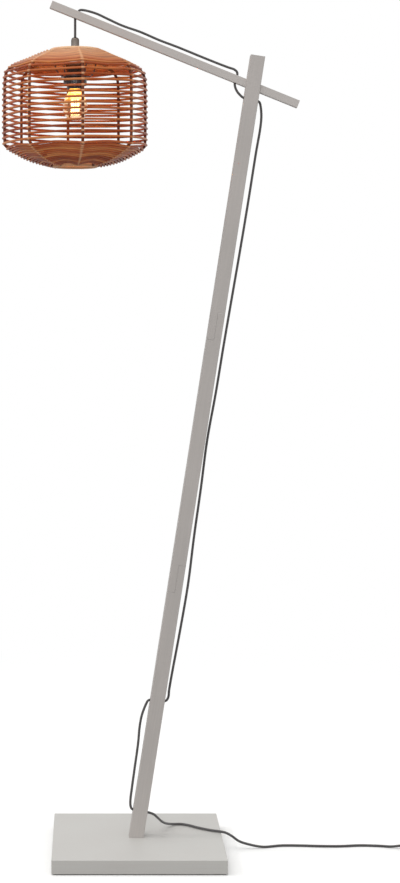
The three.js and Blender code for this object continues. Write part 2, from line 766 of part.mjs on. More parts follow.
function makeWeave() {
  add(pendant, 'rim_binding_top', rimBinding(topRing, ribPath[1]), caneStrand);
  add(pendant, 'rim_binding_bottom', rimBinding(bottomRing, ribPath[ribPath.length - 2]), caneStrand);

  const shell = (first, last) => turnedShade([
    ...outline.slice(first, last + 1), ...innerOutline.slice(first, last + 1).reverse(),
  ]);
  const top = topOutline.length - openAbove;
  const bottom = topOutline.length + openBelow;
  add(pendant, 'weave_top', shell(0, top), caneStrand);
  add(pendant, 'weave_bottom', shell(bottom, outline.length - 1), caneStrand);

  const corner = strand / 2 / Math.cos(Math.PI / courseSides);
  for (let i = 0; i < strandCount; i += 1) {
    const strandLine = sideStrand(
      outline[top][1] - courseClear, outline[bottom][1] + courseClear,
      strandStartRib + (i * ribCount) / strandCount,
    );
    add(pendant, `weave_side_${i + 1}`, woundTube(strandLine, corner, courseSides), caneStrand);
  }
}

// A point of the ribs' line at a height, moved outwards by a distance.
function besideRib(z, distance) {
  const next = ribPath.findIndex(([, low], i) => i > 0 && low <= z);
  const [[r0, z0], [r1, z1]] = [ribPath[next - 1], ribPath[next]];
  const run = Math.hypot(r1 - r0, z1 - z0);
  const share = (z0 - z) / (z0 - z1);
  return [
    r0 + (r1 - r0) * share + (distance * (z0 - z1)) / run,
    z + (distance * (r1 - r0)) / run,
  ];
}

// One of the strands that wind down the open side side by side. It passes outside each rib, and runs
// straighter than the shade's round from rib to rib.
function sideStrand(top, bottom, firstRib) {
  const steps = (courseCount * ribCount * stepsPerBay) / strandCount;
  const reach = ribRadius + strandSlack + strand / 2;
  return Array.from({ length: steps + 1 }, (_, i) => {
    const dip = (strandDip * (1 - Math.cos((2 * Math.PI * i) / stepsPerBay))) / 2;
    const [r, z] = besideRib(top + ((bottom - top) * i) / steps, reach - dip);
    const angle = around(firstRib) - (i * 2 * Math.PI) / (ribCount * stepsPerBay);
    return new THREE.Vector3(r * Math.sin(angle), -r * Math.cos(angle), z);
  });
}

// Lead: each stretch's route is a list of places set by hand

const leadDrop = [[0, 0, 1.2], [0, 0, -dropLength / 2], [0, 0, -dropLength - leadInCap]];
const leadBoom = [
  [-152, 0, 2031.4], [-151.5, 0, 2033.6], [-149.6, 0, 2038], [-146.6, 0, 2043.5], [-140.2, 0, 2050.1],
  [-131, 0, 2050.1], [-117, 0, 2047],
  [-98, 1, 2041], [-71, 2, 2028.4], [-37, 1, 2012.6], [7, -1, 1996.9], [54, 1, 1976.9], [100, 2, 1959.6],
  [153, 0, 1937.6], [197, 0, 1919.9], [222, 0, 1910.4], [236.6, 0, 1905.2], [243.1, 0, 1898.8],
  [243.2, 0, 1889.6], [240.2, 0, 1881.9],
];
const leadLoop = [
  [239.9, 0, 1881.2], [237.6, 0, 1873.5], [238, 0, 1864.5], [242.5, 0, 1853], [250, 0, 1843.5],
  [260.5, 0, 1835.2], [276.3, 0, 1832.1],
];
const leadRear = [
  [277, 0, 1832], [290, 0, 1829.9], [297.8, 0, 1825.1], [300.5, 0, 1816.2], [302.4, 0, 1792],
  [299.8, 0, 1762.6], [289.6, 0, 1704], [271, 0, 1587], [251.5, 0, 1470], [231.2, 0, 1353],
  [211, 0, 1236], [191.5, 0, 1118], [170.2, 0, 1001], [154.9, 0, 884], [138.3, 0, 767],
  [123.6, 0, 650], [103.4, 0, 533], [84, 0, 430], [77.2, 0, 390], [75.4, 0, 374], [70.6, 0, 365.9],
  [61.7, 0, 363.6], [48.8, 0, 365.5],
];
const leadLeft = [
  [48.1, 0, 365.6], [35.1, 0, 367.7], [26.2, 0, 365.5], [21.2, 0, 357.5], [10.2, 0, 328], [4.9, 0, 298],
  [2.4, 0, 269], [-1.2, 0, 240], [-5.4, 0, 211], [-13.6, 0, 152], [-17, 0, 125], [-17.2, 0, 111.7],
  [-14.8, 0, 102.8], [-7, 0, 98], [6, 0, 95.9],
];
const leadFloor = [
  [6.7, 0, 95.8], [23.7, 0.4, 93.2], [38.3, 6.6, 87], [50.3, 22.5, 73.4], [62.3, 47.5, 57],
  [76, 74, 45], [92, 91, 39.4], [110, 94, 38.6], [128, 84, 38.6], [154, 58.5, 38.7],
  [184, 35.5, 38.9], [201, 26, 39.1], [215.5, 20, 37.8], [231, 16, 30.8], [249, 14, 18.5],
  [278, 14, 9.4], [308, 17, 3.8], [355, 30, 3.4], [400, 29.5, 3.4], [448, 25, 3.4], [497, 24, 3.4],
  [548, 31, 3.4], [592, 27, 3.4], [624, 18, 4.2], [648, 12.7, 8.2], [661.4, 12, 8.8],
];
const leadTail = [
  [778.6, 12, 8.8], [785, 11.7, 8.5], [793, 7.5, 6.3], [799.6, -2, 4.2], [802, -16, 3.5], [802, -40, 3.5],
  [802, -68.7, 3.5],
];
const leadEnd = [[802, -81.4, 10.1], [802, -90, 9.7], [802, -102, 8], [802, -113, 7.2]];

// The coil: down its lower layer the spiral winds in, climbs in the half turn where it reverses,
// and winds out again on top. Its ends run straight for one diameter.
function coilPoint(turn) {
  const climbShare = THREE.MathUtils.clamp((turn - coilTurns / 2) / coilClimb + 1 / 2, 0, 1);
  const radius = coilRadius - coilPitch * Math.min(turn, coilTurns - turn);
  const angle = -turn * 2 * Math.PI;
  return new THREE.Vector3(
    coilX + radius * Math.cos(angle), coilY + radius * Math.sin(angle), coilZ + climbShare * coilPitch,
  );
}

function coilLine() {
  const steps = coilTurns * coilStepsPerTurn;
  const turns = Array.from({ length: steps + 1 }, (_, i) => coilPoint(i / coilStepsPerTurn));
  const start = turns[0].clone().setY(coilY + cordDiameter);
  const end = turns[steps].clone().setY(coilY - cordDiameter);
  return [start, ...turns, end];
}

// A tube through given centres, its rings square to the line, and closed at both ends.
function woundTube(centres, radius, sides) {
  const positions = [];
  const up = new THREE.Vector3(0, 0, 1);
  centres.forEach((centre, i) => {
    const ahead = centres[Math.min(i + 1, centres.length - 1)];
    const along = ahead.clone().sub(centres[Math.max(i - 1, 0)]).normalize();
    const side = along.clone().cross(up).normalize();
    const over = side.clone().cross(along);
    for (let k = 0; k < sides; k += 1) {
      const angle = ((k + 0.5) * 2 * Math.PI) / sides;
      positions.push(...centre.clone().addScaledVector(side, radius * Math.cos(angle))
        .addScaledVector(over, radius * Math.sin(angle)).toArray());
    }
  });
  positions.push(...centres[0].toArray(), ...centres[centres.length - 1].toArray());
  const index = [];
  const rings = centres.length;
  for (let k = 0; k < sides; k += 1) {
    const next = (k + 1) % sides;
    for (let i = 0; i < rings - 1; i += 1) {
      const [a, b] = [i * sides + k, i * sides + next];
      index.push(a, a + sides, b, b, a + sides, b + sides);
    }
    index.push(rings * sides, k, next);
    index.push(rings * sides + 1, (rings - 1) * sides + next, (rings - 1) * sides + k);
  }
  const geometry = new THREE.BufferGeometry();
  geometry.setAttribute('position', new THREE.Float32BufferAttribute(positions, 3));
  geometry.setIndex(index);
  return geometry;
}

// The least gap between the surfaces of the coil's turns.
function leastCoilGap(centres) {
  const apart = Math.floor(coilStepsPerTurn / 2);
  let least = Infinity;
  for (let i = 0; i < centres.length; i += 1) {
    for (let j = i + apart; j < centres.length; j += 1) {
      least = Math.min(least, centres[i].distanceTo(centres[j]));
    }
  }
  return least - cordDiameter;
}

function makeLead() {
  const radius = cordDiameter / 2;
  add(pendant, 'lead_drop', tube(leadDrop, radius), textileCord);
  const stretches = {
    lead_boom: leadBoom, lead_loop: leadLoop, lead_rear: leadRear, lead_left: leadLeft,
    lead_floor: leadFloor, lead_tail: leadTail, lead_end: leadEnd,
  };
  for (const [name, route] of Object.entries(stretches)) {
    add(lamp, name, tube(route, radius), textileCord);
  }
  const centres = coilLine();
  console.log('least gap between the turns of the coil, mm:', leastCoilGap(centres).toFixed(2));
  add(lamp, 'lead_coil', woundTube(centres, radius, coilSides), textileCord);
}

// Foot switch

const switchSeam = switchBaseHeight;
const switchTop = switchSeam + gap + switchCoverHeight;
const switchMiddle = switchX + switchLength / 2;
const switchEnd = switchX + switchLength;
const switchScrewPlaces = [
  [switchX + switchScrewInset, switchY - switchWidth / 2 + switchScrewInset],
  [switchEnd - switchScrewInset, switchY + switchWidth / 2 - switchScrewInset],
];

function switchShell(inwards, from, to, edge) {
  const low = [switchX + inwards, switchY - switchWidth / 2 + inwards];
  const high = [switchEnd - inwards, switchY + switchWidth / 2 - inwards];
  return roundedPlate(low, high, switchCorner - inwards, from, to, edge);
}

function makeSwitchHousing() {
  const above = block([switchX - overrun, switchY - switchWidth, switchSeam],
    [switchEnd + overrun, switchY + switchWidth, switchTop * 2]);
  const below = block([switchX - overrun, switchY - switchWidth, -switchTop],
    [switchEnd + overrun, switchY + switchWidth, switchSeam + gap]);
  const inlets = [[switchX - overrun, switchX + switchWall + overrun],
    [switchEnd - switchWall - overrun, switchEnd + overrun]].map(([from, to]) =>
    rodX(reliefRootRadius + gap, from, to).translate(0, switchY, switchCordZ));
  const at = ([x, y], geometry) => geometry.translate(x, y, 0);
  const screwBores = switchScrewPlaces.flatMap((place) => [
    at(place, rod(switchScrewRadius + gap, -overrun, switchTop - switchWall)),
    at(place, rod(switchScrewHead + gap, -overrun, switchScrewHeadHeight + 2 * gap)),
  ]);
  add(lamp, 'switch_base', cut(switchShell(0, 0, switchTop, switchEdge), above,
    switchShell(switchWall, switchFloor, switchTop * 2, 0), ...inlets, ...screwBores), blackPlastic);

  const bosses = switchScrewPlaces.map((place) =>
    at(place, rod(switchBossRadius, switchFloor + gap, switchTop - switchWall / 2)));
  const buttonBore = at([switchMiddle, switchY],
    rod(switchButtonRadius + gap, switchSeam, switchTop + overrun, medium));
  const cover = cut(switchShell(0, 0, switchTop, switchEdge), below,
    switchShell(switchWall, -overrun, switchTop - switchWall, 0), ...inlets, buttonBore);
  add(lamp, 'switch_cover', cut(join(cover, ...bosses), ...screwBores.filter((_, i) => i % 2 === 0)),
    blackPlastic);
  switchScrewPlaces.forEach((place, i) => {
    add(lamp, `switch_screw_${i + 1}`, at(place, turned([
      [0, gap], [switchScrewHead, gap], [switchScrewHead, gap + switchScrewHeadHeight],
      [switchScrewRadius, gap + switchScrewHeadHeight], [switchScrewRadius, switchScrewLength],
      [0, switchScrewLength],
    ], coarse)), zincSteel);
  });
}

// A strain relief along X: tapered outside the wall, with a collar inside it.
function relief(root, towards) {
  const inner = root - towards * (switchWall + gap);
  const end = inner - towards * reliefCollar;
  return turned([
    [0, root + towards * reliefLength], [reliefTipRadius, root + towards * reliefLength],
    [reliefRootRadius, root], [reliefRootRadius, inner], [reliefCollarRadius, inner],
    [reliefCollarRadius, end], [0, end],
  ], coarse).rotateY(Math.PI / 2).translate(0, switchY, switchCordZ);
}

function makeSwitchInside() {
  const flangeTopZ = switchTop - switchWall - gap;
  const underside = flangeTopZ - switchButtonFlange;
  const top = switchTop + switchButtonRise;
  const flange = switchButtonRadius + switchButtonFlange;
  add(lamp, 'switch_button', turned([
    [0, top], [switchButtonRadius - switchButtonEdge, top], [switchButtonRadius, top - switchButtonEdge],
    [switchButtonRadius, flangeTopZ], [flange, flangeTopZ], [flange, underside], [0, underside],
  ]).translate(switchMiddle, switchY, 0), blackPlastic);
  add(lamp, 'switch_relief_in', relief(switchX, -1), blackPlastic);
  add(lamp, 'switch_relief_out', relief(switchEnd, 1), blackPlastic);

  const low = switchFloor + gap + switchSpringWire;
  const rise = underside - gap - switchSpringWire - low;
  const steps = switchSpringTurns * springStepsPerTurn;
  const line = Array.from({ length: steps + 1 }, (_, i) => {
    const angle = (i * 2 * Math.PI) / springStepsPerTurn;
    return new THREE.Vector3(switchMiddle + switchSpringRadius * Math.cos(angle),
      switchY + switchSpringRadius * Math.sin(angle), low + (rise * i) / steps);
  });
  add(lamp, 'switch_spring', woundTube(line, switchSpringWire, springSides), zincSteel);
}

// Plug: its outline lies flat and points to the front

function makePlug() {
  const half = plugWidth / 2;
  const shoulder = plugLength * plugShoulderShare;
  const tail = plugReliefLength;
  const shape = new THREE.Shape([
    [-plugTailWidth / 2, 0], [plugTailWidth / 2, 0], [half, shoulder], [half, plugLength],
    [-half, plugLength], [-half, shoulder],
  ].map(([x, y]) => new THREE.Vector2(x, y)));
  const body = new THREE.ExtrudeGeometry(shape, {
    depth: plugThickness - 2 * plugEdge, bevelThickness: plugEdge, bevelSize: plugEdge,
    bevelOffset: -plugEdge, bevelSegments: 1,
  }).translate(0, 0, plugEdge - plugThickness / 2).rotateX(Math.PI).translate(0, -tail, 0);
  const taper = turned([
    [0, 0], [reliefTipRadius, 0], [reliefRootRadius, tail], [reliefRootRadius, tail + overrun],
    [0, tail + overrun],
  ], coarse).rotateX(Math.PI / 2);
  const face = -tail - plugLength;
  const places = [-plugPinSpacing / 2, plugPinSpacing / 2];
  const seats = places.map((x) =>
    rodY(plugPinRadius + gap, face - overrun, face + plugPinSeat + gap).translate(x, 0, 0));
  const plug = new THREE.Group();
  plug.position.set(plugX, plugY, plugZ);
  lamp.add(plug);
  add(plug, 'plug_body', cut(join(body, taper), ...seats), blackPlastic);
  places.forEach((x, i) => {
    add(plug, `plug_pin_${i + 1}`, rodY(plugPinRadius, face - plugPinLength, face + plugPinSeat)
      .translate(x, 0, 0), yellowBrass);
  });
}

makeBase();
makeMast();
makeFasteners();
makeBoom();
makeHolder();
makeBulb();
makeFrame();
makeWeave();
makeLead();
makeSwitchHousing();
makeSwitchInside();
makePlug();

export default lamp;
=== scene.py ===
"""The looks of a floor lamp: painted wood, a hanging shade of woven cane, and a textile lead.

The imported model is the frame. The wooden pieces, the fasteners, the small inner pieces, the foot
switch and the plug keep their own meshes and are only given a finish. The shade, the lampholder, the
bulb, the lead and the switch's spring are made here, each in the place of its plain solid. Lengths
are in metres.
"""

import functools
import logging
import math
from collections.abc import Iterable, Mapping, Sequence
from dataclasses import dataclass, field
from enum import Enum
from typing import Any, ClassVar

import bmesh
import bpy
from mathutils import Euler, Matrix, Vector, noise
from mathutils.geometry import interpolate_bezier


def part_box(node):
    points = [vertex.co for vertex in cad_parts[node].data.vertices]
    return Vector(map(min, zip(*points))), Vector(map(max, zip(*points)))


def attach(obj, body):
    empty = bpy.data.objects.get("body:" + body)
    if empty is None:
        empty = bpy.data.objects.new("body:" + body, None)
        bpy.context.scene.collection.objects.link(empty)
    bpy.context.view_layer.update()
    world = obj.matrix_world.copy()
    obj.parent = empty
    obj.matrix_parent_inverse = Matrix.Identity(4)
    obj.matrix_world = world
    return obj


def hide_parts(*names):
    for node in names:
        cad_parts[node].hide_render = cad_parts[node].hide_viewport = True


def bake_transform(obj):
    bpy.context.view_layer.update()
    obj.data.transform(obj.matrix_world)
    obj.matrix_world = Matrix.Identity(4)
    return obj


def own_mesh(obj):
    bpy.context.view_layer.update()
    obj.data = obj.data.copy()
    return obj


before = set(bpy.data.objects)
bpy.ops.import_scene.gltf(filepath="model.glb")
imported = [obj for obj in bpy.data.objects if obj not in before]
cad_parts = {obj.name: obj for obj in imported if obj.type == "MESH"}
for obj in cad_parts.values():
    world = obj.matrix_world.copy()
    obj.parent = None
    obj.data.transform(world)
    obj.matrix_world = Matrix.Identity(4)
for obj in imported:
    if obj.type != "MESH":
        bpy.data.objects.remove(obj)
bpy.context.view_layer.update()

log = logging.getLogger("floor_lamp")

PHOTO_WIDTH = 400
PHOTO_HEIGHT = 883
SENSOR_WIDTH = 36.0  # in millimetres, as Blender takes it
HUB_BORE = 0.0203  # of the shade's hub, and of the ring that holds it
SECTION_STEPS = 6  # from a point of a turned piece's curve to the next

Pair = tuple[float, float]
Pairs = tuple[Pair, ...]
Place = tuple[float, float, float]
Socket = bpy.types.NodeSocket
Mesh = bpy.types.Mesh
Piece = bpy.types.Object


class Slot(Enum):
    """The record's material slots."""

    PAINTED_WOOD = "painted_wood"
    FELT = "felt"
    ZINC_STEEL = "zinc_steel"
    BRASS = "brass"
    BLACK_NICKEL = "black_nickel"
    BLACK_PLASTIC = "black_plastic"
    WHITE_CERAMIC = "white_ceramic"
    CLEAR_GLASS = "clear_glass"
    FILAMENT = "filament"
    CANE = "cane"
    LACQUERED_WIRE = "lacquered_wire"
    TEXTILE_CORD = "textile_cord"


class FarEnd(Enum):
    """What is on a cord's far end."""

    OBJECT = "object"
    FITTING = "fitting"
    PLUG = "plug"


class Lay(Enum):
    """How a cord lies."""

    LOOSE = "loose"
    HANGING = "hanging"
    COILED = "coiled"


# Colours and nodes


def linear(colour: str) -> tuple[float, float, float, float]:
    """Turn an sRGB colour to linear.

    Args:
        colour: The colour as hex, such as "#B26A40".

    Returns:
        Its linear red, green and blue, and an alpha of one.
    """
    shares = [int(colour[at:at + 2], 16) / 255 for at in (1, 3, 5)]
    straight = [c / 12.92 if c <= 0.04045 else ((c + 0.055) / 1.055) ** 2.4 for c in shares]
    return (straight[0], straight[1], straight[2], 1.0)


@dataclass(frozen=True)
class Nodes:
    """A material's or world's node tree, with a short call for each kind of node that is used often."""

    tree: bpy.types.NodeTree

    def add(
        self,
        kind: str,
        inputs: Mapping[str | int, Any] | None = None,
        pick: str | int = 0,
        stops: Sequence[tuple[float, str]] = (),
        **settings: Any,
    ) -> Socket | None:
        """Add a node with its settings, values and links.

        Args:
            kind: The node's type without its first word, such as "TexNoise".
            inputs: For an input's name or number, its value or the socket that it is linked from.
            pick: The name or number of the output that is wanted.
            stops: A colour ramp's places and hex colours, from first to last.
            settings: The node's own properties.

        Returns:
            The output, or nothing for a node that has none.
        """
        node = self.tree.nodes.new("ShaderNode" + kind)
        for name, setting in settings.items():
            setattr(node, name, setting)
        for key, value in (inputs or {}).items():
            if isinstance(value, Socket):
                self.tree.links.new(value, node.inputs[key])
            else:
                node.inputs[key].default_value = value
        if stops:
            elements = node.color_ramp.elements
            for element, (place, colour) in ((elements[0], stops[0]), (elements[-1], stops[-1])):
                element.position = place
                element.color = linear(colour)
            for place, colour in stops[1:-1]:
                elements.new(place).color = linear(colour)
        return node.outputs[pick] if node.outputs else None

    def place(self, kind: str = "Object") -> Socket:
        """Give the place on the piece, in its own metres or in its UV map."""
        return self.add("TexCoord", pick=kind)

    def part(self, vector: Socket, axis: str) -> Socket:
        """Take a vector's X, Y or Z."""
        return self.add("SeparateXYZ", {0: vector}, axis)

    def maths(self, operation: str, *values: Socket | float) -> Socket:
        """Reckon with one to three values."""
        return self.add("Math", dict(enumerate(values)), operation=operation)

    def noise(self, place: Socket, grain: float, detail: float = 2.0, **more: float) -> Socket:
        """Vary softly over a place, in grains of a size."""
        return self.add("TexNoise", {"Vector": place, "Scale": 1 / grain, "Detail": detail, **more})

    def ramp(self, share: Socket, *stops: tuple[float, str]) -> Socket:
        """Turn a share to a colour."""
        return self.add("ValToRGB", {"Fac": share}, stops=stops)

    def span(self, value: Socket, source: Pair, target: Pair, kind: str = "LINEAR") -> Socket:
        """Carry a value from one range over to another, and keep it there."""
        return self.add("MapRange", {
            "Value": value, "From Min": source[0], "From Max": source[1],
            "To Min": target[0], "To Max": target[1],
        }, interpolation_type=kind)

    def bump(self, height: Socket, strength: float, depth: float, **more: Socket) -> Socket:
        """Tilt the surface as a relief does."""
        return self.add("Bump", {"Height": height, "Strength": strength, "Distance": depth, **more})

    def mix(self, share: Socket, first: Any, second: Any) -> Socket:
        """Mix two colours."""
        return self.add("Mix", {0: share, 6: first, 7: second}, 2, data_type="RGBA")

    def surface(self, colour: Any, rough: Any, normal: Socket, more: Mapping[str, Any]) -> Socket:
        """Make a surface's shader from its colour, roughness, relief and whatever else it has."""
        return self.add("BsdfPrincipled", {
            "Base Color": colour, "Roughness": rough, "Normal": normal, **more,
        })

    def seen(self) -> Socket:
        """Tell the rays that see the background, in a mirror or through glass too, from those that light.

        Returns:
            One for a ray from the camera, a glossy one or one through glass, and otherwise zero.
        """
        path = self.add("LightPath").node.outputs
        mirrored = self.maths("MAXIMUM", path["Is Glossy Ray"], path["Is Transmission Ray"])
        return self.maths("MAXIMUM", path["Is Camera Ray"], mirrored)


@dataclass(frozen=True)
class Finish:
    """A finish: its common name and the slot it belongs to. Each kind says how its shader is made."""

    name: str
    slot: Slot | None = None

    def shade(self, nodes: Nodes) -> Socket:
        """Make the shader and return its output."""
        raise NotImplementedError

    def put_on(self, piece: Piece) -> None:
        """Give a piece this finish."""
        piece.data.materials.clear()
        piece.data.materials.append(material_of(self))


@functools.cache
def material_of(finish: Finish) -> bpy.types.Material:
    """Make a finish's material, once.

    Args:
        finish: The finish.

    Returns:
        The material, named for the finish.
    """
    material = bpy.data.materials.new(finish.name)
    material.use_nodes = True
    material.node_tree.nodes.clear()
    nodes = Nodes(material.node_tree)
    nodes.add("OutputMaterial", {"Surface": finish.shade(nodes)})
    return material


# Finishes


GRAIN_RANGE = (0.3, 0.7)  # what a noise's values mostly lie between


@dataclass(frozen=True)
class PaintedWood(Finish):
    """Pine under two coats of satin paint. The grain stays as faint streaks along each piece, slightly
    sunk where the soft wood took more sanding, and the roller leaves a fine stipple."""

    grain_lean: float = 0.0  # degrees from upright, towards the right
    pale: str = "#C9C5C0"
    deep: str = "#BFBBB5"
    gloss: Pair = (0.5, 0.6)
    grain_width: float = 0.0024
    grain_length: float = 0.11
    patch: float = 0.16
    stipple: float = 0.0009

    def shade(self, nodes: Nodes) -> Socket:
        """Make the shader and return its output."""
        place = nodes.place()
        along = nodes.add("Mapping", {
            "Vector": place,
            "Rotation": (0.0, math.radians(self.grain_lean), 0.0),
            "Scale": (self.grain_width, self.grain_width, self.grain_length),
        }, vector_type="TEXTURE")
        grain = nodes.noise(along, 1.0, detail=3.0, Distortion=0.4)
        both = nodes.maths("ADD", grain, nodes.noise(place, self.patch))
        colour = nodes.ramp(nodes.maths("MULTIPLY", both, 0.5), (0.3, self.deep), (0.7, self.pale))
        rough = nodes.span(grain, GRAIN_RANGE, self.gloss)
        sunk = nodes.bump(grain, strength=0.35, depth=0.0004)
        stipple = nodes.noise(place, self.stipple, detail=1.0)
        rolled = nodes.bump(stipple, strength=0.15, depth=0.0002, Normal=sunk)
        return nodes.surface(colour, rough, rolled, {})


@dataclass(frozen=True)
class Felt(Finish):
    """Pressed wool felt: dull, slightly mottled, with fibres that catch the light at its edge."""

    pale: str = "#4A4744"
    deep: str = "#2E2C2A"
    rough: float = 0.95
    fibre: float = 0.0011

    def shade(self, nodes: Nodes) -> Socket:
        """Make the shader and return its output."""
        fibres = nodes.noise(nodes.place(), self.fibre, detail=5.0, Distortion=2.0)
        colour = nodes.ramp(fibres, (0.3, self.deep), (0.7, self.pale))
        raised = nodes.bump(fibres, strength=0.6, depth=0.0004)
        return nodes.surface(colour, self.rough, raised, {"Sheen Weight": 0.4})


@dataclass(frozen=True)
class Grained(Finish):
    """A plain finish whose colour, gloss and relief all follow one fine grain."""

    pale: str = "#232324"
    deep: str = "#19191A"
    gloss: Pair = (0.36, 0.48)
    grain: float = 0.0007
    relief: float = 0.00006
    detail: ClassVar[float] = 3.0
    depth: ClassVar[float] = 0.4  # the share of the relief that is felt

    def extras(self) -> dict[str, Any]:
        """Give the rest of its surface's values."""
        return {}

    def shade(self, nodes: Nodes) -> Socket:
        """Make the shader and return its output."""
        grain = nodes.noise(nodes.place(), self.grain, self.detail)
        colour = nodes.ramp(grain, (0.35, self.deep), (0.65, self.pale))
        rough = nodes.span(grain, GRAIN_RANGE, self.gloss)
        return nodes.surface(colour, rough, nodes.bump(grain, self.depth, self.relief), self.extras())


@dataclass(frozen=True)
class Metal(Grained):
    """A plated or bare metal. Fine turning lines and slight stains vary its gloss."""

    pale: str = "#C4C6C8"
    deep: str = "#A9ABAE"
    gloss: Pair = (0.28, 0.42)
    grain: float = 0.004
    relief: float = 0.00004
    edge: str = "#FFFFFF"  # its tint where it is seen at a slant
    detail: ClassVar[float] = 4.0
    depth: ClassVar[float] = 0.3

    def extras(self) -> dict[str, Any]:
        """Give its metal and its edge's tint."""
        return {"Metallic": 1.0, "Specular Tint": linear(self.edge)}


@dataclass(frozen=True)
class Moulded(Grained):
    """A moulded or glazed piece: an even colour under a surface with a fine grain from its mould."""

    coat: float = 0.0

    def extras(self) -> dict[str, Any]:
        """Give its clear coat."""
        return {"Coat Weight": self.coat, "Coat Roughness": 0.06}


@dataclass(frozen=True)
class Glass(Finish):
    """Clear blown glass with a faint amber wash, which the lit filament makes glow near its top."""

    tint: str = "#FFEFD9"
    glow: str = "#FFB650"
    low: float = 0.0
    high: float = 1.0
    glow_strength: float = 0.7
    rough: float = 0.02
    wave: float = 1 / 180

    def shade(self, nodes: Nodes) -> Socket:
        """Make the shader and return its output."""
        place = nodes.place()
        share = nodes.span(nodes.part(place, "Z"), (self.low, self.high), (0.04, 1.0), "SMOOTHERSTEP")
        waves = nodes.bump(nodes.noise(place, self.wave, detail=1.0), strength=0.03, depth=0.0003)
        return nodes.surface(linear(self.tint), self.rough, waves, {
            "IOR": 1.45, "Transmission Weight": 1.0, "Emission Color": linear(self.glow),
            "Emission Strength": nodes.maths("MULTIPLY", share, self.glow_strength),
        })


@dataclass(frozen=True)
class Filament(Finish):
    """A lit filament: it glows nearly white, with specks of a warmer white."""

    hot: str = "#FFF2D6"
    warm: str = "#FFE2B0"
    strength: float = 1.7
    speck: float = 0.0015

    def shade(self, nodes: Nodes) -> Socket:
        """Make the shader and return its output."""
        specks = nodes.noise(nodes.place(), self.speck)
        colour = nodes.ramp(specks, (0.3, self.warm), (0.6, self.hot))
        return nodes.add("BsdfPrincipled", {
            "Base Color": colour, "Roughness": 0.6, "Emission Color": colour,
            "Emission Strength": self.strength,
        })


@dataclass(frozen=True)
class Cane(Finish):
    """Peeled cane under a thin stain and a satin lacquer. Each length took the stain a little
    differently, and the fibres run along it. It carries painted top light, paler where the cone faces
    up, and a painted highlight, paler where the strand bends over a rib."""

    deep: str = "#6E2A0F"
    middle: str = "#B0562A"
    pale: str = "#D68C50"
    painted_cone_light: str = "#E0B48C"  # painted top light, on the cone
    painted_cone_light_heights: Pair = (1.9, 1.95)
    painted_cone_light_share: float = 0.6
    rib_highlight_colour: str = "#E9B98D"  # painted highlight, where it bends over the ribs
    painted_rib_highlight_share: float = 0.0
    painted_rib_highlight_reach: Pair = (0.008, 0.045)  # from a rib, in shares of the way to the next
    axis: Pair = (0.0, 0.0)  # of the shade
    ribs: int = 8
    rib_turn: float = 0.0
    piece_length: float = 0.85  # of one length of cane, before the next is laid in
    piece_share: float = 0.34  # of the tone, as are the next two shares
    drift_rate: float = 14.0
    drift_share: float = 0.4
    fibre_length: float = 0.03
    fibres_round: float = 9.0
    fibre_share: float = 0.34
    relief: float = 0.0005
    gloss: Pair = (0.34, 0.52)

    def stain(self, nodes: Nodes, along: Socket, fibres: Socket) -> Socket:
        """Colour each length of cane a little differently, with a slow drift and its fibres.

        Args:
            nodes: The material's nodes.
            along: The distance along the strand.
            fibres: The fibres' noise.

        Returns:
            The colour.
        """
        number = nodes.maths("FLOOR", nodes.maths("MULTIPLY", along, 1 / self.piece_length))
        piece = nodes.add("TexWhiteNoise", {"W": number}, noise_dimensions="1D")
        drift = nodes.add("TexNoise", {"W": along, "Scale": self.drift_rate, "Detail": 3.0},
                          noise_dimensions="1D")
        drifted = nodes.maths("MULTIPLY", drift, self.drift_share)
        both = nodes.maths("MULTIPLY_ADD", piece, self.piece_share, drifted)
        tone = nodes.maths("ADD", both, nodes.maths("MULTIPLY", fibres, self.fibre_share))
        return nodes.ramp(tone, (0.25, self.deep), (0.5, self.middle), (0.78, self.pale))

    def painted_rib_highlight(self, nodes: Nodes, place: Socket) -> Socket:
        """Say how much painted highlight the strand gets, by how near it is to a rib."""
        from_axis = nodes.add("VectorMath", {0: place, 1: (*self.axis, 0.0)}, operation="SUBTRACT")
        turn = nodes.add("TexGradient", {"Vector": from_axis}, "Fac", gradient_type="RADIAL")
        first = (self.rib_turn - 90) / 360 + 0.5
        bay = nodes.maths("MULTIPLY_ADD", turn, self.ribs, -first * self.ribs)
        away = nodes.maths("PINGPONG", bay, 0.5)
        return nodes.span(away, self.painted_rib_highlight_reach, (self.painted_rib_highlight_share, 0.0), "SMOOTHSTEP")

    def shade(self, nodes: Nodes) -> Socket:
        """Make the shader and return its output."""
        wrap, place = nodes.place("UV"), nodes.place()
        along = nodes.part(wrap, "X")
        fibres = nodes.noise(nodes.add("CombineXYZ", {
            "X": nodes.maths("MULTIPLY", along, 1 / self.fibre_length),
            "Y": nodes.maths("MULTIPLY", nodes.part(wrap, "Y"), self.fibres_round),
        }), 1.0, detail=4.0, Roughness=0.6)
        # Painted top light: the colour is mixed towards a paler tan between these heights, where the cone
        # faces up.
        painted_cone_light = nodes.span(nodes.part(place, "Z"), self.painted_cone_light_heights, (0.0, self.painted_cone_light_share),
                           "SMOOTHSTEP")
        stain_and_cone_light = nodes.mix(painted_cone_light, self.stain(nodes, along, fibres), linear(self.painted_cone_light))
        # Painted highlight: the strand is mixed paler where it bends over a rib.
        colour = nodes.mix(self.painted_rib_highlight(nodes, place), stain_and_cone_light, linear(self.rib_highlight_colour))
        rough = nodes.span(fibres, GRAIN_RANGE, self.gloss)
        raised = nodes.bump(fibres, strength=0.5, depth=self.relief)
        return nodes.surface(colour, rough, raised, {"Specular IOR Level": 0.22})


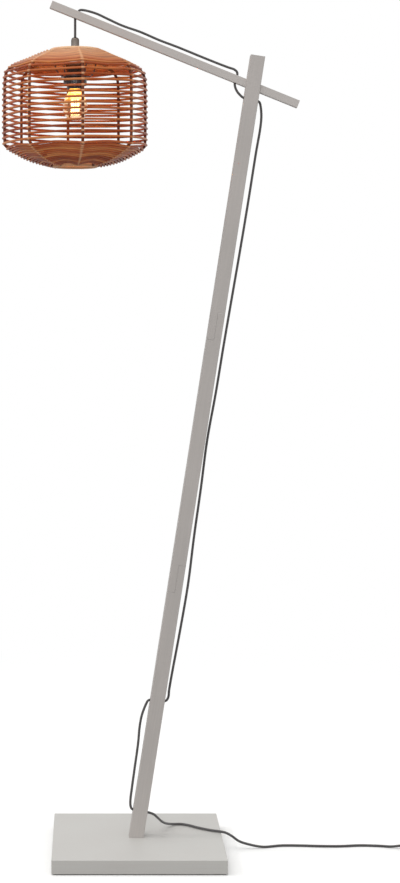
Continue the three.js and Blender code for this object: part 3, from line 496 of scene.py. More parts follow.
@dataclass(frozen=True)
class Braid(Finish):
    """A braided cotton sleeve over a round flex: small crossing threads, dull, with a soft sheen."""

    pale: str = "#5E5B5A"
    deep: str = "#333234"
    threads: int = 8  # that run each way round it
    pitch: float = 0.0042  # along it, from a thread to the next
    relief: float = 0.0004
    rough: float = 0.85

    def shade(self, nodes: Nodes) -> Socket:
        """Make the shader and return its output."""
        wrap = nodes.place("UV")
        along = nodes.maths("MULTIPLY", nodes.part(wrap, "X"), math.tau / self.pitch)
        turn = nodes.part(wrap, "Y")
        phases = [nodes.maths("MULTIPLY_ADD", turn, way * self.threads, along)
                  for way in (math.tau, -math.tau)]
        plait = nodes.maths("MULTIPLY", *[nodes.maths("SINE", phase) for phase in phases])
        height = nodes.span(plait, (-1.0, 1.0), (0.0, 1.0))
        colour = nodes.ramp(height, (0.1, self.deep), (0.8, self.pale))
        raised = nodes.bump(height, strength=0.7, depth=self.relief)
        more = {"Sheen Weight": 0.35, "Sheen Roughness": 0.5}
        return nodes.surface(colour, self.rough, raised, more)


@dataclass(frozen=True)
class StudioFloor(Finish):
    """A matt white studio floor. It keeps the lamp's soft shadow near it and is plain white far off."""

    white: str = "#F8F8F7"
    dim: str = "#8A8988"  # what its own light on the lamp comes from
    lift: float = 0.07  # what the camera, gloss and glass see of it beyond its own light
    reach: Pair = (1.0, 2.6)  # from where it starts to fade to where it is plain white
    dust: float = 1 / 300

    def shade(self, nodes: Nodes) -> Socket:
        """Make the shader and return its output."""
        place = nodes.place()
        away = nodes.add("VectorMath", {0: place}, "Value", operation="LENGTH")
        share = nodes.span(away, self.reach, (0.0, 1.0), "SMOOTHSTEP")
        soft = nodes.add("Bump", {"Height": nodes.noise(place, self.dust), "Strength": 0.02})
        seen = nodes.seen()
        colour = nodes.mix(seen, linear(self.dim), linear(self.white))
        matt = nodes.add("BsdfDiffuse", {"Color": colour, "Normal": soft})
        lift = nodes.add("Emission", {"Strength": nodes.maths("MULTIPLY", seen, self.lift)})
        lit = nodes.add("AddShader", {0: matt, 1: lift})
        white = nodes.add("Emission", {"Strength": 1.0})
        return nodes.add("MixShader", {0: nodes.maths("MULTIPLY", share, seen), 1: lit, 2: white})


MAST_LEAN = 8.85
BOOM_LEAN = 112.0
BASE_LEAN = 90.0

MAST_PAINT = PaintedWood("satin_painted_pine_mast", Slot.PAINTED_WOOD, MAST_LEAN, "#B9B3AF", "#ABA6A2")
BOOM_PAINT = PaintedWood("satin_painted_pine_boom", Slot.PAINTED_WOOD, BOOM_LEAN, "#C0BAB6", "#B5B0AC")
BASE_PAINT = PaintedWood("satin_painted_board", Slot.PAINTED_WOOD, BASE_LEAN, "#C2C1BD", "#BDBAB6")
FELT = Felt("pressed_wool_felt", Slot.FELT)
ZINC = Metal("zinc_plated_steel", Slot.ZINC_STEEL)
BRASS = Metal("turned_brass", Slot.BRASS, "#D2AE5C", "#B8923F", (0.25, 0.4))
BLACK_NICKEL = Metal("black_nickel_plate", Slot.BLACK_NICKEL, "#8E857E", "#7A716A", (0.14, 0.24), 0.02,
                     0.00001, "#4A3A34")
PHENOLIC = Moulded("black_phenolic", Slot.BLACK_PLASTIC, "#1D1B1B", "#131212", (0.2, 0.3), 0.002,
                   0.00002, 0.5)
ABS = Moulded("spark_textured_abs", Slot.BLACK_PLASTIC)
CERAMIC = Moulded("glazed_steatite", Slot.WHITE_CERAMIC, "#ECE9E2", "#DEDAD1", (0.15, 0.25), 0.006,
                  0.00003, 0.6)
# The wire's warm brown stands in for the bulb's light falling on it: painted light.
BULB_LIT_WIRE = Moulded("steel_wire_painted_bulb_light", Slot.LACQUERED_WIRE, "#5C3423", "#452618", (0.3, 0.45), 0.003,
               0.00004, 0.3)
# The ribs are coloured darker than the strands, as painted shade between the strands.
SHADED_RIB_CANE = Cane("rib_cane_painted_shade_and_top_light", Slot.CANE, "#3E1A0C", "#642C14", "#8A4826", "#D9AE86",
                fibre_length=0.05, fibres_round=14.0, painted_cone_light_share=0.8)
# The rim strip's last colour is painted top light, which the top rim takes.
RIM_CANE = Cane("split_cane_strip_painted_top_light", Slot.CANE, "#C28558", "#E6B084", "#F6D5B0", "#E9C49C",
                piece_length=3.0, fibre_length=0.02, fibres_round=3.0)
BRAID = Braid("braided_cotton", Slot.TEXTILE_CORD)


# Shapes


def show(mesh: Mesh, finish: Finish, *nodes: str, body: str | None = "pendant") -> Piece:
    """Link a mesh to the scene as a piece of the same name, with its finish.

    Args:
        mesh: The piece's mesh, in place.
        finish: Its finish, which also names its slot.
        nodes: The CAD nodes whose place it takes.
        body: The body that it rides on, or nothing where that is said apart.

    Returns:
        The object, at the origin.
    """
    piece = bpy.data.objects.new(mesh.name, mesh)
    bpy.context.scene.collection.objects.link(piece)
    finish.put_on(piece)
    if body:
        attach(piece, body)
    if nodes:
        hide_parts(*nodes)
    log.info("%s: %d faces, %s", piece.name, len(mesh.polygons), finish.name)
    return piece


def mesh_from(bm: bmesh.types.BMesh, name: str, crease: float = 35.0) -> Mesh:
    """Turn a bmesh to a smooth mesh with sharp edges kept.

    Args:
        bm: The bmesh, which is freed.
        name: The mesh's name.
        crease: The least angle of a sharp edge, in degrees.

    Returns:
        The mesh.
    """
    mesh = bpy.data.meshes.new(name)
    bm.to_mesh(mesh)
    bm.free()
    mesh.shade_smooth()
    mesh.set_sharp_from_angle(angle=math.radians(crease))
    return mesh


def add_turned(
    bm: bmesh.types.BMesh,
    section: Sequence[Pair],
    centre: Vector,
    steps: int = 64,
    closed: bool = True,
) -> list[bmesh.types.BMVert]:
    """Turn a section round an upright axis and add it.

    Args:
        bm: The bmesh to add to.
        section: Its points as radius and height.
        centre: A point of the axis, at height zero of the section.
        steps: The steps of a full turn.
        closed: Whether the section's last point joins its first.

    Returns:
        The new vertices.
    """
    before = set(bm.verts)
    line = [bm.verts.new(centre + Vector((radius, 0.0, height))) for radius, height in section]
    pairs = list(zip(line, line[1:]))
    if closed:
        pairs.append((line[-1], line[0]))
    edges = [bm.edges.new(pair) for pair in pairs]
    bmesh.ops.spin(bm, geom=[*line, *edges], cent=centre, axis=(0.0, 0.0, 1.0), angle=math.tau,
                   steps=steps, use_merge=True)
    made = [vert for vert in bm.verts if vert not in before]
    bmesh.ops.remove_doubles(bm, verts=made, dist=1e-6)
    made = [vert for vert in bm.verts if vert not in before]
    faces = list({face for vert in made for face in vert.link_faces})
    bmesh.ops.recalc_face_normals(bm, faces=faces)
    return made


def turned(
    name: str,
    section: Sequence[Pair],
    centre: Vector,
    edge: float = 0.0,
    steps: int = 64,
    closed: bool = True,
) -> Mesh:
    """Make a turned piece, with its sharp edges rounded over.

    Args:
        name: The mesh's name.
        section: Its points as radius and height.
        centre: A point of the axis, at height zero of the section.
        edge: The radius of its rounded edges, or zero.
        steps: The steps of a full turn.
        closed: Whether the section's last point joins its first.

    Returns:
        The mesh.
    """
    bm = bmesh.new()
    add_turned(bm, section, centre, steps, closed)
    if edge:
        sharp = [e for e in bm.edges if len(e.link_faces) == 2 and e.calc_face_angle() > 0.6]
        bmesh.ops.bevel(bm, geom=sharp, offset=edge, segments=2, profile=0.5, material=-1,
                        affect="EDGES", clamp_overlap=True)
    return mesh_from(bm, name)


def polar(radius: float, turn: float, height: float) -> Vector:
    """Give the point at a radius, a turn in radians and a height."""
    return Vector((radius * math.cos(turn), radius * math.sin(turn), height))


def smooth_line(points: Sequence[Vector], steps: int) -> list[Vector]:
    """Draw a smooth curve through points, as the centripetal Catmull-Rom rule says.

    Args:
        points: The points that it passes.
        steps: The steps from a point to the next.

    Returns:
        The curve's points, the given ones among them.
    """
    ends = [2 * points[0] - points[1], *points, 2 * points[-1] - points[-2]]
    line = [points[0].copy()]
    for before, start, end, after in zip(ends, ends[1:], ends[2:], ends[3:]):
        into, span, out = (math.sqrt((b - a).length) for a, b in
                           ((before, start), (start, end), (end, after)))
        leave = (start - before) / into - (end - before) / (into + span) + (end - start) / span
        arrive = (end - start) / span - (after - start) / (span + out) + (after - end) / out
        line += interpolate_bezier(start, start + leave * span / 3, end - arrive * span / 3, end,
                                   steps + 1)[1:]
    return line


def length_of(line: Sequence[Vector]) -> float:
    """Measure a line of points."""
    return sum((b - a).length for a, b in zip(line, line[1:]))


def swept(
    name: str,
    lines: Iterable[Sequence[Vector]],
    radius: float,
    sides: int = 8,
    rings: bool = False,
) -> Mesh:
    """Sweep a round section along lines, with a UV map in metres along and shares round.

    Args:
        name: The mesh's name.
        lines: The centrelines.
        radius: The section's radius.
        sides: The section's sides, an even number from four.
        rings: Whether each line closes on itself.

    Returns:
        The mesh.
    """
    curve = bpy.data.curves.new(name, "CURVE")
    curve.dimensions = "3D"
    curve.bevel_depth = radius
    curve.bevel_resolution = (sides - 4) // 2
    curve.use_fill_caps = True
    lengths = []
    for line in lines:
        spline = curve.splines.new("POLY")
        spline.points.add(len(line) - 1)
        for point, place in zip(spline.points, line):
            point.co = (*place, 1.0)
        spline.use_cyclic_u = rings
        lengths.append((len(line), length_of(line)))
    holder = bpy.data.objects.new(name, curve)
    mesh = bpy.data.meshes.new_from_object(holder)
    bpy.data.objects.remove(holder)
    bpy.data.curves.remove(curve)
    mesh.name = name
    scale_along(mesh, lengths, sides)
    mesh.shade_smooth()
    mesh.set_sharp_from_angle(angle=math.radians(50))
    return mesh


def scale_along(mesh: Mesh, lengths: Sequence[tuple[int, float]], sides: int) -> None:
    """Give each tube's UV map its length in metres, with tubes laid end to end.

    Args:
        mesh: The tubes' mesh, one after another.
        lengths: Each tube's count of centreline points, and its length.
        sides: The sides of their section.
    """
    layer = mesh.uv_layers.active
    if layer is None:
        return
    starts = []
    total = 0.0
    for count, length in lengths:
        starts += [(total, length)] * (count * sides)
        total += length
    last = (total - lengths[-1][1], lengths[-1][1])
    for loop, uv in zip(mesh.loops, layer.data):
        start, length = starts[loop.vertex_index] if loop.vertex_index < len(starts) else last
        uv.uv = (start + uv.uv[0] * length, uv.uv[1])


# The studio


@dataclass
class Studio:
    """The camera, the soft light, the pale floor and the white room."""

    eye: Place = (-0.1182, -4.7, 1.3429)
    axis_px: Pair = (89.0, 300.0)  # where the camera's axis meets the picture
    focal_px: float = 1926.0
    room_light: float = 0.7
    suns: tuple[tuple[str, float, float, Place], ...] = (  # name, strength, width in degrees, side
        ("key_light", 0.82, 50.0, (-0.7, -0.3, 2.6)),
        ("side_light", 0.3, 2.5, (-1.0, 0.0, 0.9)),
    )
    panel_from: Place = (-0.5, -5.0, 2.3)
    panel_aim: Place = (-0.1, 0.0, 1.4)
    panel_size: Pair = (2.6, 2.2)
    panel_radiance: float = 3.9
    floor_side: float = 60.0

    def place_camera(self) -> None:
        """Make the camera where the photograph was taken from, looking level."""
        data = bpy.data.cameras.new("camera")
        data.sensor_width = SENSOR_WIDTH
        data.lens = self.focal_px / PHOTO_HEIGHT * SENSOR_WIDTH
        data.shift_x = (PHOTO_WIDTH / 2 - self.axis_px[0]) / PHOTO_HEIGHT
        data.shift_y = (self.axis_px[1] - PHOTO_HEIGHT / 2) / PHOTO_HEIGHT
        data.dof.use_dof = False
        camera = bpy.data.objects.new("camera", data)
        level = Euler((math.pi / 2, 0.0, 0.0)).to_matrix().to_4x4()
        camera.matrix_world = Matrix.Translation(Vector(self.eye)) @ level
        bpy.context.scene.collection.objects.link(camera)
        bpy.context.scene.camera = camera
        bpy.context.scene.view_settings.view_transform = "Standard"
        log.info("camera at %s", self.eye)

    def add_lamp(
        self, kind: str, name: str, energy: float, start: Place, aim: Place = (0.0, 0.0, 0.0),
    ) -> bpy.types.Light:
        """Add a lamp that shines from one place towards another.

        Args:
            kind: Its kind, such as "SUN".
            name: Its name.
            energy: Its strength, in the measure of its kind.
            start: Where it stands.
            aim: Where it shines.

        Returns:
            The lamp's data.
        """
        data = bpy.data.lights.new(name, kind)
        data.energy = energy
        lamp = bpy.data.objects.new(name, data)
        lamp.rotation_mode = "QUATERNION"
        lamp.rotation_quaternion = (Vector(start) - Vector(aim)).to_track_quat("Z", "Y")
        lamp.location = start
        bpy.context.scene.collection.objects.link(lamp)
        return data

    def light(self) -> None:
        """Light the lamp from above and the left, from beside the camera and from the room all round."""
        for name, strength, width, side in self.suns:
            self.add_lamp("SUN", name, strength, side).angle = math.radians(width)
        width, height = self.panel_size
        energy = self.panel_radiance * math.pi * width * height
        panel = self.add_lamp("AREA", "front_panel", energy, self.panel_from, self.panel_aim)
        panel.shape = "RECTANGLE"
        panel.size = width
        panel.size_y = height
        world = bpy.data.worlds.new("white_room")
        world.use_nodes = True
        world.node_tree.nodes.clear()
        nodes = Nodes(world.node_tree)
        strength = nodes.span(nodes.seen(), (0.0, 1.0), (self.room_light, 1.0))
        room = nodes.add("Background", {"Color": linear("#FFFFFF"), "Strength": strength})
        nodes.add("OutputWorld", {"Surface": room})
        bpy.context.scene.world = world
        log.info("two suns, a front panel and a white room")

    def lay_floor(self) -> None:
        """Lay the floor."""
        bm = bmesh.new()
        bmesh.ops.create_grid(bm, x_segments=1, y_segments=1, size=self.floor_side / 2)
        floor = bpy.data.objects.new("studio_floor", mesh_from(bm, "studio_floor"))
        StudioFloor("matt_white_floor").put_on(floor)
        bpy.context.scene.collection.objects.link(floor)


# The lead


@dataclass(frozen=True)
class Stretch:
    """One stretch of the lead, from a place where it leaves the lamp to where it goes back in."""

    name: str
    nodes: tuple[str, ...]
    route: tuple[Place, ...]
    length: float
    far_end: FarEnd = FarEnd.OBJECT
    lay: Lay = Lay.LOOSE
    bodies: tuple[str, ...] = ("stand",)
    pieces: tuple[str, ...] = ()


DROP = Stretch("flex_drop", ("lead_drop",), (
    (-0.152, 0, 2.0308), (-0.152, 0, 2.0066), (-0.152, 0, 1.9576),
), 0.073, lay=Lay.HANGING, bodies=("pendant_link", "pendant"))
BOOM_LEAD = Stretch("flex_boom", ("lead_boom",), (
    (-0.152, 0, 2.0314), (-0.1515, 0, 2.0336), (-0.1496, 0, 2.038), (-0.1466, 0, 2.0435),
    (-0.1402, 0, 2.0501), (-0.131, 0, 2.0501), (-0.117, 0, 2.047), (-0.098, 0.001, 2.041),
    (-0.071, 0.002, 2.0284), (-0.037, 0.001, 2.0126), (0.007, -0.001, 1.9969),
    (0.054, 0.001, 1.9769), (0.1, 0.002, 1.9596), (0.153, 0, 1.9376), (0.197, 0, 1.9199),
    (0.222, 0, 1.9104), (0.2366, 0, 1.9052), (0.2431, 0, 1.8988), (0.2432, 0, 1.8896),
    (0.2402, 0, 1.8819),
), 0.454, bodies=("boom",))
LOOP = Stretch("flex_loop", ("lead_loop",), (
    (0.2399, 0, 1.8812), (0.2376, 0, 1.8735), (0.238, 0, 1.8645), (0.2425, 0, 1.853),
    (0.25, 0, 1.8435), (0.2605, 0, 1.8352), (0.2763, 0, 1.8321),
), 0.071, lay=Lay.HANGING, bodies=("boom", "stand"))
REAR = Stretch("flex_rear", ("lead_rear",), (
    (0.277, 0, 1.832), (0.29, 0, 1.8299), (0.2978, 0, 1.8251), (0.3005, 0, 1.8162),
    (0.3024, 0, 1.792), (0.2998, 0, 1.7626), (0.2896, 0, 1.704), (0.271, 0, 1.587),
    (0.2515, 0, 1.47), (0.2312, 0, 1.353), (0.211, 0, 1.236), (0.1915, 0, 1.118),
    (0.1702, 0, 1.001), (0.1549, 0, 0.884), (0.1383, 0, 0.767), (0.1236, 0, 0.65),
    (0.1034, 0, 0.533), (0.084, 0, 0.43), (0.0772, 0, 0.39), (0.0754, 0, 0.374),
    (0.0706, 0, 0.3659), (0.0617, 0, 0.3636), (0.0488, 0, 0.3655),
), 1.524, lay=Lay.HANGING)
LEFT = Stretch("flex_left", ("lead_left",), (
    (0.0481, 0, 0.3656), (0.0351, 0, 0.3677), (0.0262, 0, 0.3655), (0.0212, 0, 0.3575),
    (0.0102, 0, 0.328), (0.0049, 0, 0.298), (0.0024, 0, 0.269), (-0.0012, 0, 0.24),
    (-0.0054, 0, 0.211), (-0.0136, 0, 0.152), (-0.017, 0, 0.125), (-0.0172, 0, 0.1117),
    (-0.0148, 0, 0.1028), (-0.007, 0, 0.098), (0.006, 0, 0.0959),
), 0.313, lay=Lay.HANGING)
ON_FLOOR = Stretch("flex_floor", ("lead_floor",), (
    (0.0067, 0, 0.0958), (0.0237, 0.0004, 0.0932), (0.0383, 0.0066, 0.087),
    (0.0503, 0.0225, 0.0734), (0.0623, 0.0475, 0.057), (0.076, 0.074, 0.045),
    (0.092, 0.091, 0.0394), (0.11, 0.094, 0.0386), (0.128, 0.084, 0.0386), (0.154, 0.0585, 0.0387),
    (0.184, 0.0355, 0.0389), (0.201, 0.026, 0.0391), (0.2155, 0.02, 0.0378),
    (0.231, 0.016, 0.0308), (0.249, 0.014, 0.0185), (0.278, 0.014, 0.0094), (0.308, 0.017, 0.0038),
    (0.355, 0.03, 0.0034), (0.4, 0.0295, 0.0034), (0.448, 0.025, 0.0034), (0.497, 0.024, 0.0034),
    (0.548, 0.031, 0.0034), (0.592, 0.027, 0.0034), (0.624, 0.018, 0.0042),
    (0.648, 0.0127, 0.0082), (0.6614, 0.012, 0.0088),
), 0.755, FarEnd.FITTING, pieces=(
    "switch_relief_in", "switch_base", "switch_cover", "switch_button", "switch_relief_out",
))
TO_COIL = (
    (0.7786, 0.012, 0.0088), (0.785, 0.0117, 0.0085), (0.793, 0.0075, 0.0063),
    (0.7996, -0.002, 0.0042), (0.802, -0.016, 0.0035), (0.802, -0.04, 0.0035),
    (0.802, -0.0687, 0.0035),
)
TO_PLUG = (
    (0.802, -0.0814, 0.0101), (0.802, -0.09, 0.0097), (0.802, -0.102, 0.008),
    (0.802, -0.113, 0.0072),
)


@dataclass
class Lead:
    """The textile lead: it hangs from the boom to the floor and ends in a coil, put away, and a plug."""

    diameter: float = 0.006
    steps: int = 8
    coil_turns: int = 6
    coil_radius: float = 0.04
    coil_pitch: float = 0.0066
    coil_climb: float = 0.5  # turns over which it climbs a layer
    coil_middle: Place = (0.762, -0.075, 0.0035)
    steps_per_turn: int = 24
    coiled_length: float = 1.27

    def coil(self) -> list[Place]:
        """Wind the coil: in along the floor, up a layer where the spiral turns back, and out again.

        Returns:
            The places that it passes.
        """
        x, y, z = self.coil_middle
        places = []
        for step in range(self.coil_turns * self.steps_per_turn + 1):
            turn = step / self.steps_per_turn
            climb = (turn - self.coil_turns / 2) / self.coil_climb + 0.5
            radius = self.coil_radius - self.coil_pitch * min(turn, self.coil_turns - turn)
            angle = -turn * math.tau
            places.append((
                x + radius * math.cos(angle), y + radius * math.sin(angle),
                z + min(max(climb, 0.0), 1.0) * self.coil_pitch,
            ))
        return places

    def stretches(self) -> list[Stretch]:
        """List the stretches from the lampholder to the plug."""
        coiled = Stretch(
            "flex_coiled", ("lead_tail", "lead_coil", "lead_end"),
            (*TO_COIL, *self.coil()[1:-1], *TO_PLUG), self.coiled_length, FarEnd.PLUG, Lay.COILED,
            pieces=("plug_body", "plug_pin_1", "plug_pin_2"),
        )
        return [DROP, BOOM_LEAD, LOOP, REAR, LEFT, ON_FLOOR, coiled]

    def lay(self) -> None:
        """Make each stretch as a tube. One that crosses a joint has its place baked in and rides on no
        body; any other rides on its body.
        """
        for stretch in self.stretches():
            line = smooth_line([Vector(place) for place in stretch.route], self.steps)
            mesh = swept(stretch.name, [line], self.diameter / 2, sides=12)
            tube = show(mesh, BRAID, *stretch.nodes, body=None)
            if len(stretch.bodies) > 1:
                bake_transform(tube)
            else:
                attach(tube, stretch.bodies[0])


# The wooden stand and the small pieces that keep their own meshes


@dataclass
class Stand:
    """The base, the mast, the boom and the fasteners, which only need their finishes."""

    finishes: dict[Finish, tuple[str, ...]] = field(default_factory=lambda: {
        BASE_PAINT: ("base_plate",),
        MAST_PAINT: ("mast_lower", "mast_middle", "mast_upper"),
        BOOM_PAINT: ("boom",),
        FELT: ("felt_sheet",),
        ZINC: (
            "foot_bolt_front", "foot_bolt_rear", "foot_washer_front", "foot_washer_rear",
            "lap_screw_1", "lap_screw_2", "lap_screw_3", "lap_screw_4", "boom_grub_screw",
            "switch_screw_1", "switch_screw_2", "bulb_cap",
        ),
        BRASS: (
            "foot_insert_front", "foot_insert_rear", "lap_insert_1", "lap_insert_2", "lap_insert_3",
            "lap_insert_4", "boom_grub_insert", "centre_contact", "lamp_thread", "plug_pin_1",
            "plug_pin_2",
        ),
        CERAMIC: ("holder_insert",),
        PHENOLIC: ("cord_grip_screw",),
        ABS: (
            "switch_base", "switch_cover", "switch_button", "switch_relief_in",
            "switch_relief_out", "plug_body",
        ),
    })

    def dress(self) -> None:
        """Give each CAD node its finish."""
        for finish, nodes in self.finishes.items():
            for name in nodes:
                finish.put_on(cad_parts[name])
            log.info("%s: %s", finish.name, ", ".join(nodes))


@dataclass
class SwitchSpring:
    """The coil spring under the foot switch's button, which is pressed flatter as the button goes down."""

    wire: float = 0.0006
    turns: float = 4.0
    turn_steps: int = 24
    keep: float = 0.79  # of its height, with the button down

    def build(self) -> None:
        """Wind the spring to fill its node's box."""
        low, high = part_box("switch_spring")
        middle = (low + high) / 2
        radius = (high.y - low.y) / 2 - self.wire
        rise = high.z - low.z - 2 * self.wire
        steps = round(self.turns * self.turn_steps)
        start = Vector((middle.x, middle.y, low.z + self.wire))
        line = [start + polar(radius, step * math.tau / self.turn_steps, rise * step / steps)
                for step in range(steps + 1)]
        spring = show(swept("pressure_spring", [line], self.wire), ZINC, "switch_spring", body="stand")
        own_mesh(spring)


# The lampholder


def curve_section(radius: float, top: float, height: float, shares: Pairs) -> list[Pair]:
    """Draw a section's stretch as a smooth curve.

    Args:
        radius: The radius at a share of one.
        top: The height of its top.
        height: How far down it comes.
        shares: The points that it passes, as shares of the radius and of the way down.

    Returns:
        The curve's points, as radius and height.
    """
    points = [Vector((radius * across, 0.0, top - height * down)) for across, down in shares]
    return [(point.x, point.z) for point in smooth_line(points, SECTION_STEPS)]


@dataclass
class LampHolder:
    """The lampholder's cap, its threaded shell and the ring that carries the shade's hub."""

    centre: Vector
    top: float
    lead_bore: float = 0.0033
    neck_radius: float = 0.00975
    neck_length: float = 0.046
    dome_height: float = 0.007
    bell_radius: float = 0.023
    bell_height: float = 0.02
    skirt: float = 0.012
    wall: float = 0.002
    hub_seat: float = 0.0023  # from the hub's underside to the top of its seat
    hub_slack: float = 0.0001
    flange: float = 0.004
    shell_wall: float = 0.0015
    thread_pitch: float = 0.003
    thread_depth: float = 0.0006
    ring_floor: float = 0.0034
    ring_chamfer: float = 0.0012
    ring_band: float = 0.003  # left plain over and under the grip ribs
    ring_lip: float = 0.0008
    grip_ribs: int = 40
    grip_steps: int = 4  # of the turning, to a rib
    grip_depth: float = 0.0005
    dome_shares: Pairs = ((0.34, 0.0), (0.6, 0.12), (0.88, 0.45), (1.0, 1.0))
    bell_shares: Pairs = ((0.424, 0.0), (0.51, 0.3), (0.85, 0.75), (1.0, 1.0))

    def make_cap(self) -> None:
        """Make the cap: a dome over a slim neck that flares to a bell with an upright skirt."""
        neck_bottom = self.top - self.neck_length
        bell_top = neck_bottom - self.bell_height
        bottom = bell_top - self.skirt
        inside = self.neck_radius - self.wall
        bell_inside = self.bell_radius - self.wall
        section = [
            (self.lead_bore, self.top),
            *curve_section(self.neck_radius, self.top, self.dome_height, self.dome_shares)[1:],
            *curve_section(self.bell_radius, neck_bottom, self.bell_height, self.bell_shares),
            (self.bell_radius, bottom), (bell_inside, bottom), (bell_inside, bell_top - self.wall),
            (inside, neck_bottom - self.wall), (inside, self.top - self.dome_height - 2 * self.wall),
            (self.lead_bore, self.top - self.dome_height),
        ]
        show(turned("nickel_cap", section, self.centre, edge=0.0005), BLACK_NICKEL, "holder_cap")

    def make_shell(self) -> None:
        """Make the shell: a collar, a flange that carries the hub, and a long outer thread."""
        low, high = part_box("holder_shell")
        flange_radius = (high.x - low.x) / 2
        flange_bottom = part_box("shade_spider")[0].z + self.hub_seat + self.hub_slack
        flange_top = flange_bottom + self.flange
        collar = self.bell_radius - self.wall / 2
        radius = collar - self.wall
        root = radius - self.thread_depth
        inside = radius - self.shell_wall
        thread = []
        for turn in range(int((flange_bottom - low.z) / self.thread_pitch)):
            z = flange_bottom - turn * self.thread_pitch
            thread += [(radius, z), (root, z - self.thread_pitch / 2)]
        section = [
            (collar, high.z), (collar, flange_top), (flange_radius, flange_top),
            (flange_radius, flange_bottom), *thread[1:], (root, low.z), (inside, low.z),
            (inside, high.z),
        ]
        show(turned("threaded_shell", section, self.centre, edge=0.0003), PHENOLIC, "holder_shell")

    def make_ring(self) -> None:
        """Make the shade ring: a threaded cup with grip ribs round it."""
        low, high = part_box("shade_ring")
        radius = (high.x - low.x) / 2
        inside = radius - self.wall
        floor = high.z - self.ring_floor
        section = [
            (HUB_BORE, high.z), (radius - self.ring_chamfer, high.z),
            (radius, high.z - self.ring_chamfer), (radius, high.z - self.ring_band),
            (radius, low.z + self.ring_band), (radius, low.z + self.ring_chamfer),
            (radius - self.ring_lip, low.z), (inside, low.z), (inside, floor), (HUB_BORE, floor),
        ]
        plain = (self.ring_chamfer + self.ring_band) / 2
        bm = bmesh.new()
        for vert in add_turned(bm, section, self.centre, self.grip_ribs * self.grip_steps):
            arm = (vert.co - self.centre).xy
            if low.z + plain < vert.co.z < high.z - plain and arm.length > radius - self.grip_depth:
                angle = math.atan2(arm.y, arm.x)
                dent = self.grip_depth * (0.5 - 0.5 * math.cos(angle * self.grip_ribs))
                vert.co.xy -= arm.normalized() * dent
        show(mesh_from(bm, "ribbed_ring", crease=60.0), PHENOLIC, "shade_ring")

    def build(self) -> None:
        """Make the holder's pieces."""
        self.make_cap()
        self.make_shell()
        self.make_ring()


# The bulb


@dataclass
class Bulb:
    """A clear round bulb with a cage of straight filaments on a glass stem, and its glow."""

    centre: Vector
    glass_radius: float = 0.03
    neck_radius: float = 0.0121
    glass_wall: float = 0.0008
    stem_radius: float = 0.0024
    flare_radius: float = 0.0105  # of the stem, where it is fused to the neck
    flare: float = 0.002
    flare_root: float = 0.012
    stem_root: float = 0.02
    cage_height: float = 0.042
    cage_radius: float = 0.0095
    disc: float = 0.001  # the thickness of the cage's discs
    rod_radius: float = 0.0013
    rods: int = 10
    glow_watts: float = 0.55
    glow_colour: str = "#FFC07A"
    glow_radius: float = 0.02
    glow_height: float = 0.02  # over the cage's bottom
    glass_shares: Pairs = (
        (0.403, 0.0), (0.48, 0.13), (0.77, 0.32), (0.97, 0.51), (0.98, 0.7), (0.78, 0.88), (0.4, 0.98),
        (0.0, 1.0),
    )

    def make_glass(self) -> None:
        """Blow the glass: a neck that swells to a round envelope."""
        low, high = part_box("bulb_glass")
        neck_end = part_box("bulb_cap")[0].z
        height = neck_end - low.z
        outside = curve_section(self.glass_radius, neck_end, height, self.glass_shares)
        outside[-1] = (0.0, low.z)
        inside = [(max(r - self.glass_wall, 0.0), z + self.glass_wall * (1 - r / self.glass_radius))
                  for r, z in outside]
        section = [(self.neck_radius, high.z), *outside, *reversed(inside),
                   (self.neck_radius - self.glass_wall, high.z)]
        finish = Glass("clear_lamp_glass", Slot.CLEAR_GLASS, low=low.z + height / 2,
                       high=neck_end - height / 4)
        glass = show(turned("glass_envelope", section, self.centre), finish, "bulb_glass")
        glass.visible_shadow = False

    def make_filament(self) -> None:
        """Make the lit filaments, and the stem and discs that hold them."""
        low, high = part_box("bulb_filament")
        top = low.z + self.cage_height
        ends = (low.z + 2 * self.disc, top - 2 * self.disc)
        lines = []
        for rod in range(self.rods):
            turns = (rod * math.tau / self.rods, (rod + 0.5) * math.tau / self.rods)
            lines.append([self.centre + polar(self.cage_radius, turn, z)
                          for turn, z in zip(turns, ends)])
        finish = Filament("lit_filament", Slot.FILAMENT)
        show(swept("lit_filaments", lines, self.rod_radius, sides=8), finish, "bulb_filament")
        thin = self.stem_radius * 0.5
        stem = [
            (0.0, high.z), (self.flare_radius, high.z), (self.flare_radius, high.z - self.flare),
            (self.stem_radius * 1.6, high.z - self.flare_root),
            (self.stem_radius, high.z - self.stem_root), (self.stem_radius * 0.7, top),
            (self.cage_radius, top), (self.cage_radius, top - self.disc), (thin, top - self.disc),
            (thin, low.z + 2 * self.disc), (self.cage_radius, low.z + 2 * self.disc),
            (self.cage_radius, low.z + self.disc), (0.0, low.z + self.disc),
        ]
        finish = Glass("lamp_stem_glass", Slot.CLEAR_GLASS, low=low.z, high=high.z, glow_strength=1.0)
        glass = show(turned("glass_stem", stem, self.centre, steps=32, closed=False), finish)
        glass.visible_shadow = False

    def light(self) -> None:
        """Add the light that the filaments throw on the cane. It hangs with the bulb."""
        low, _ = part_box("bulb_filament")
        data = bpy.data.lights.new("bulb_glow", "POINT")
        data.color = linear(self.glow_colour)[:3]
        data.energy = self.glow_watts
        data.shadow_soft_size = self.glow_radius
        glow = bpy.data.objects.new("bulb_glow", data)
        glow.location = self.centre + Vector((0.0, 0.0, low.z + self.glow_height))
        glow.visible_camera = False
        glow.visible_glossy = False
        glow.visible_transmission = False
        bpy.context.scene.collection.objects.link(glow)
        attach(glow, "pendant")

    def build(self) -> None:
        """Make the bulb's pieces and its light."""
        self.make_glass()
        self.make_filament()
        self.light()


# The shade


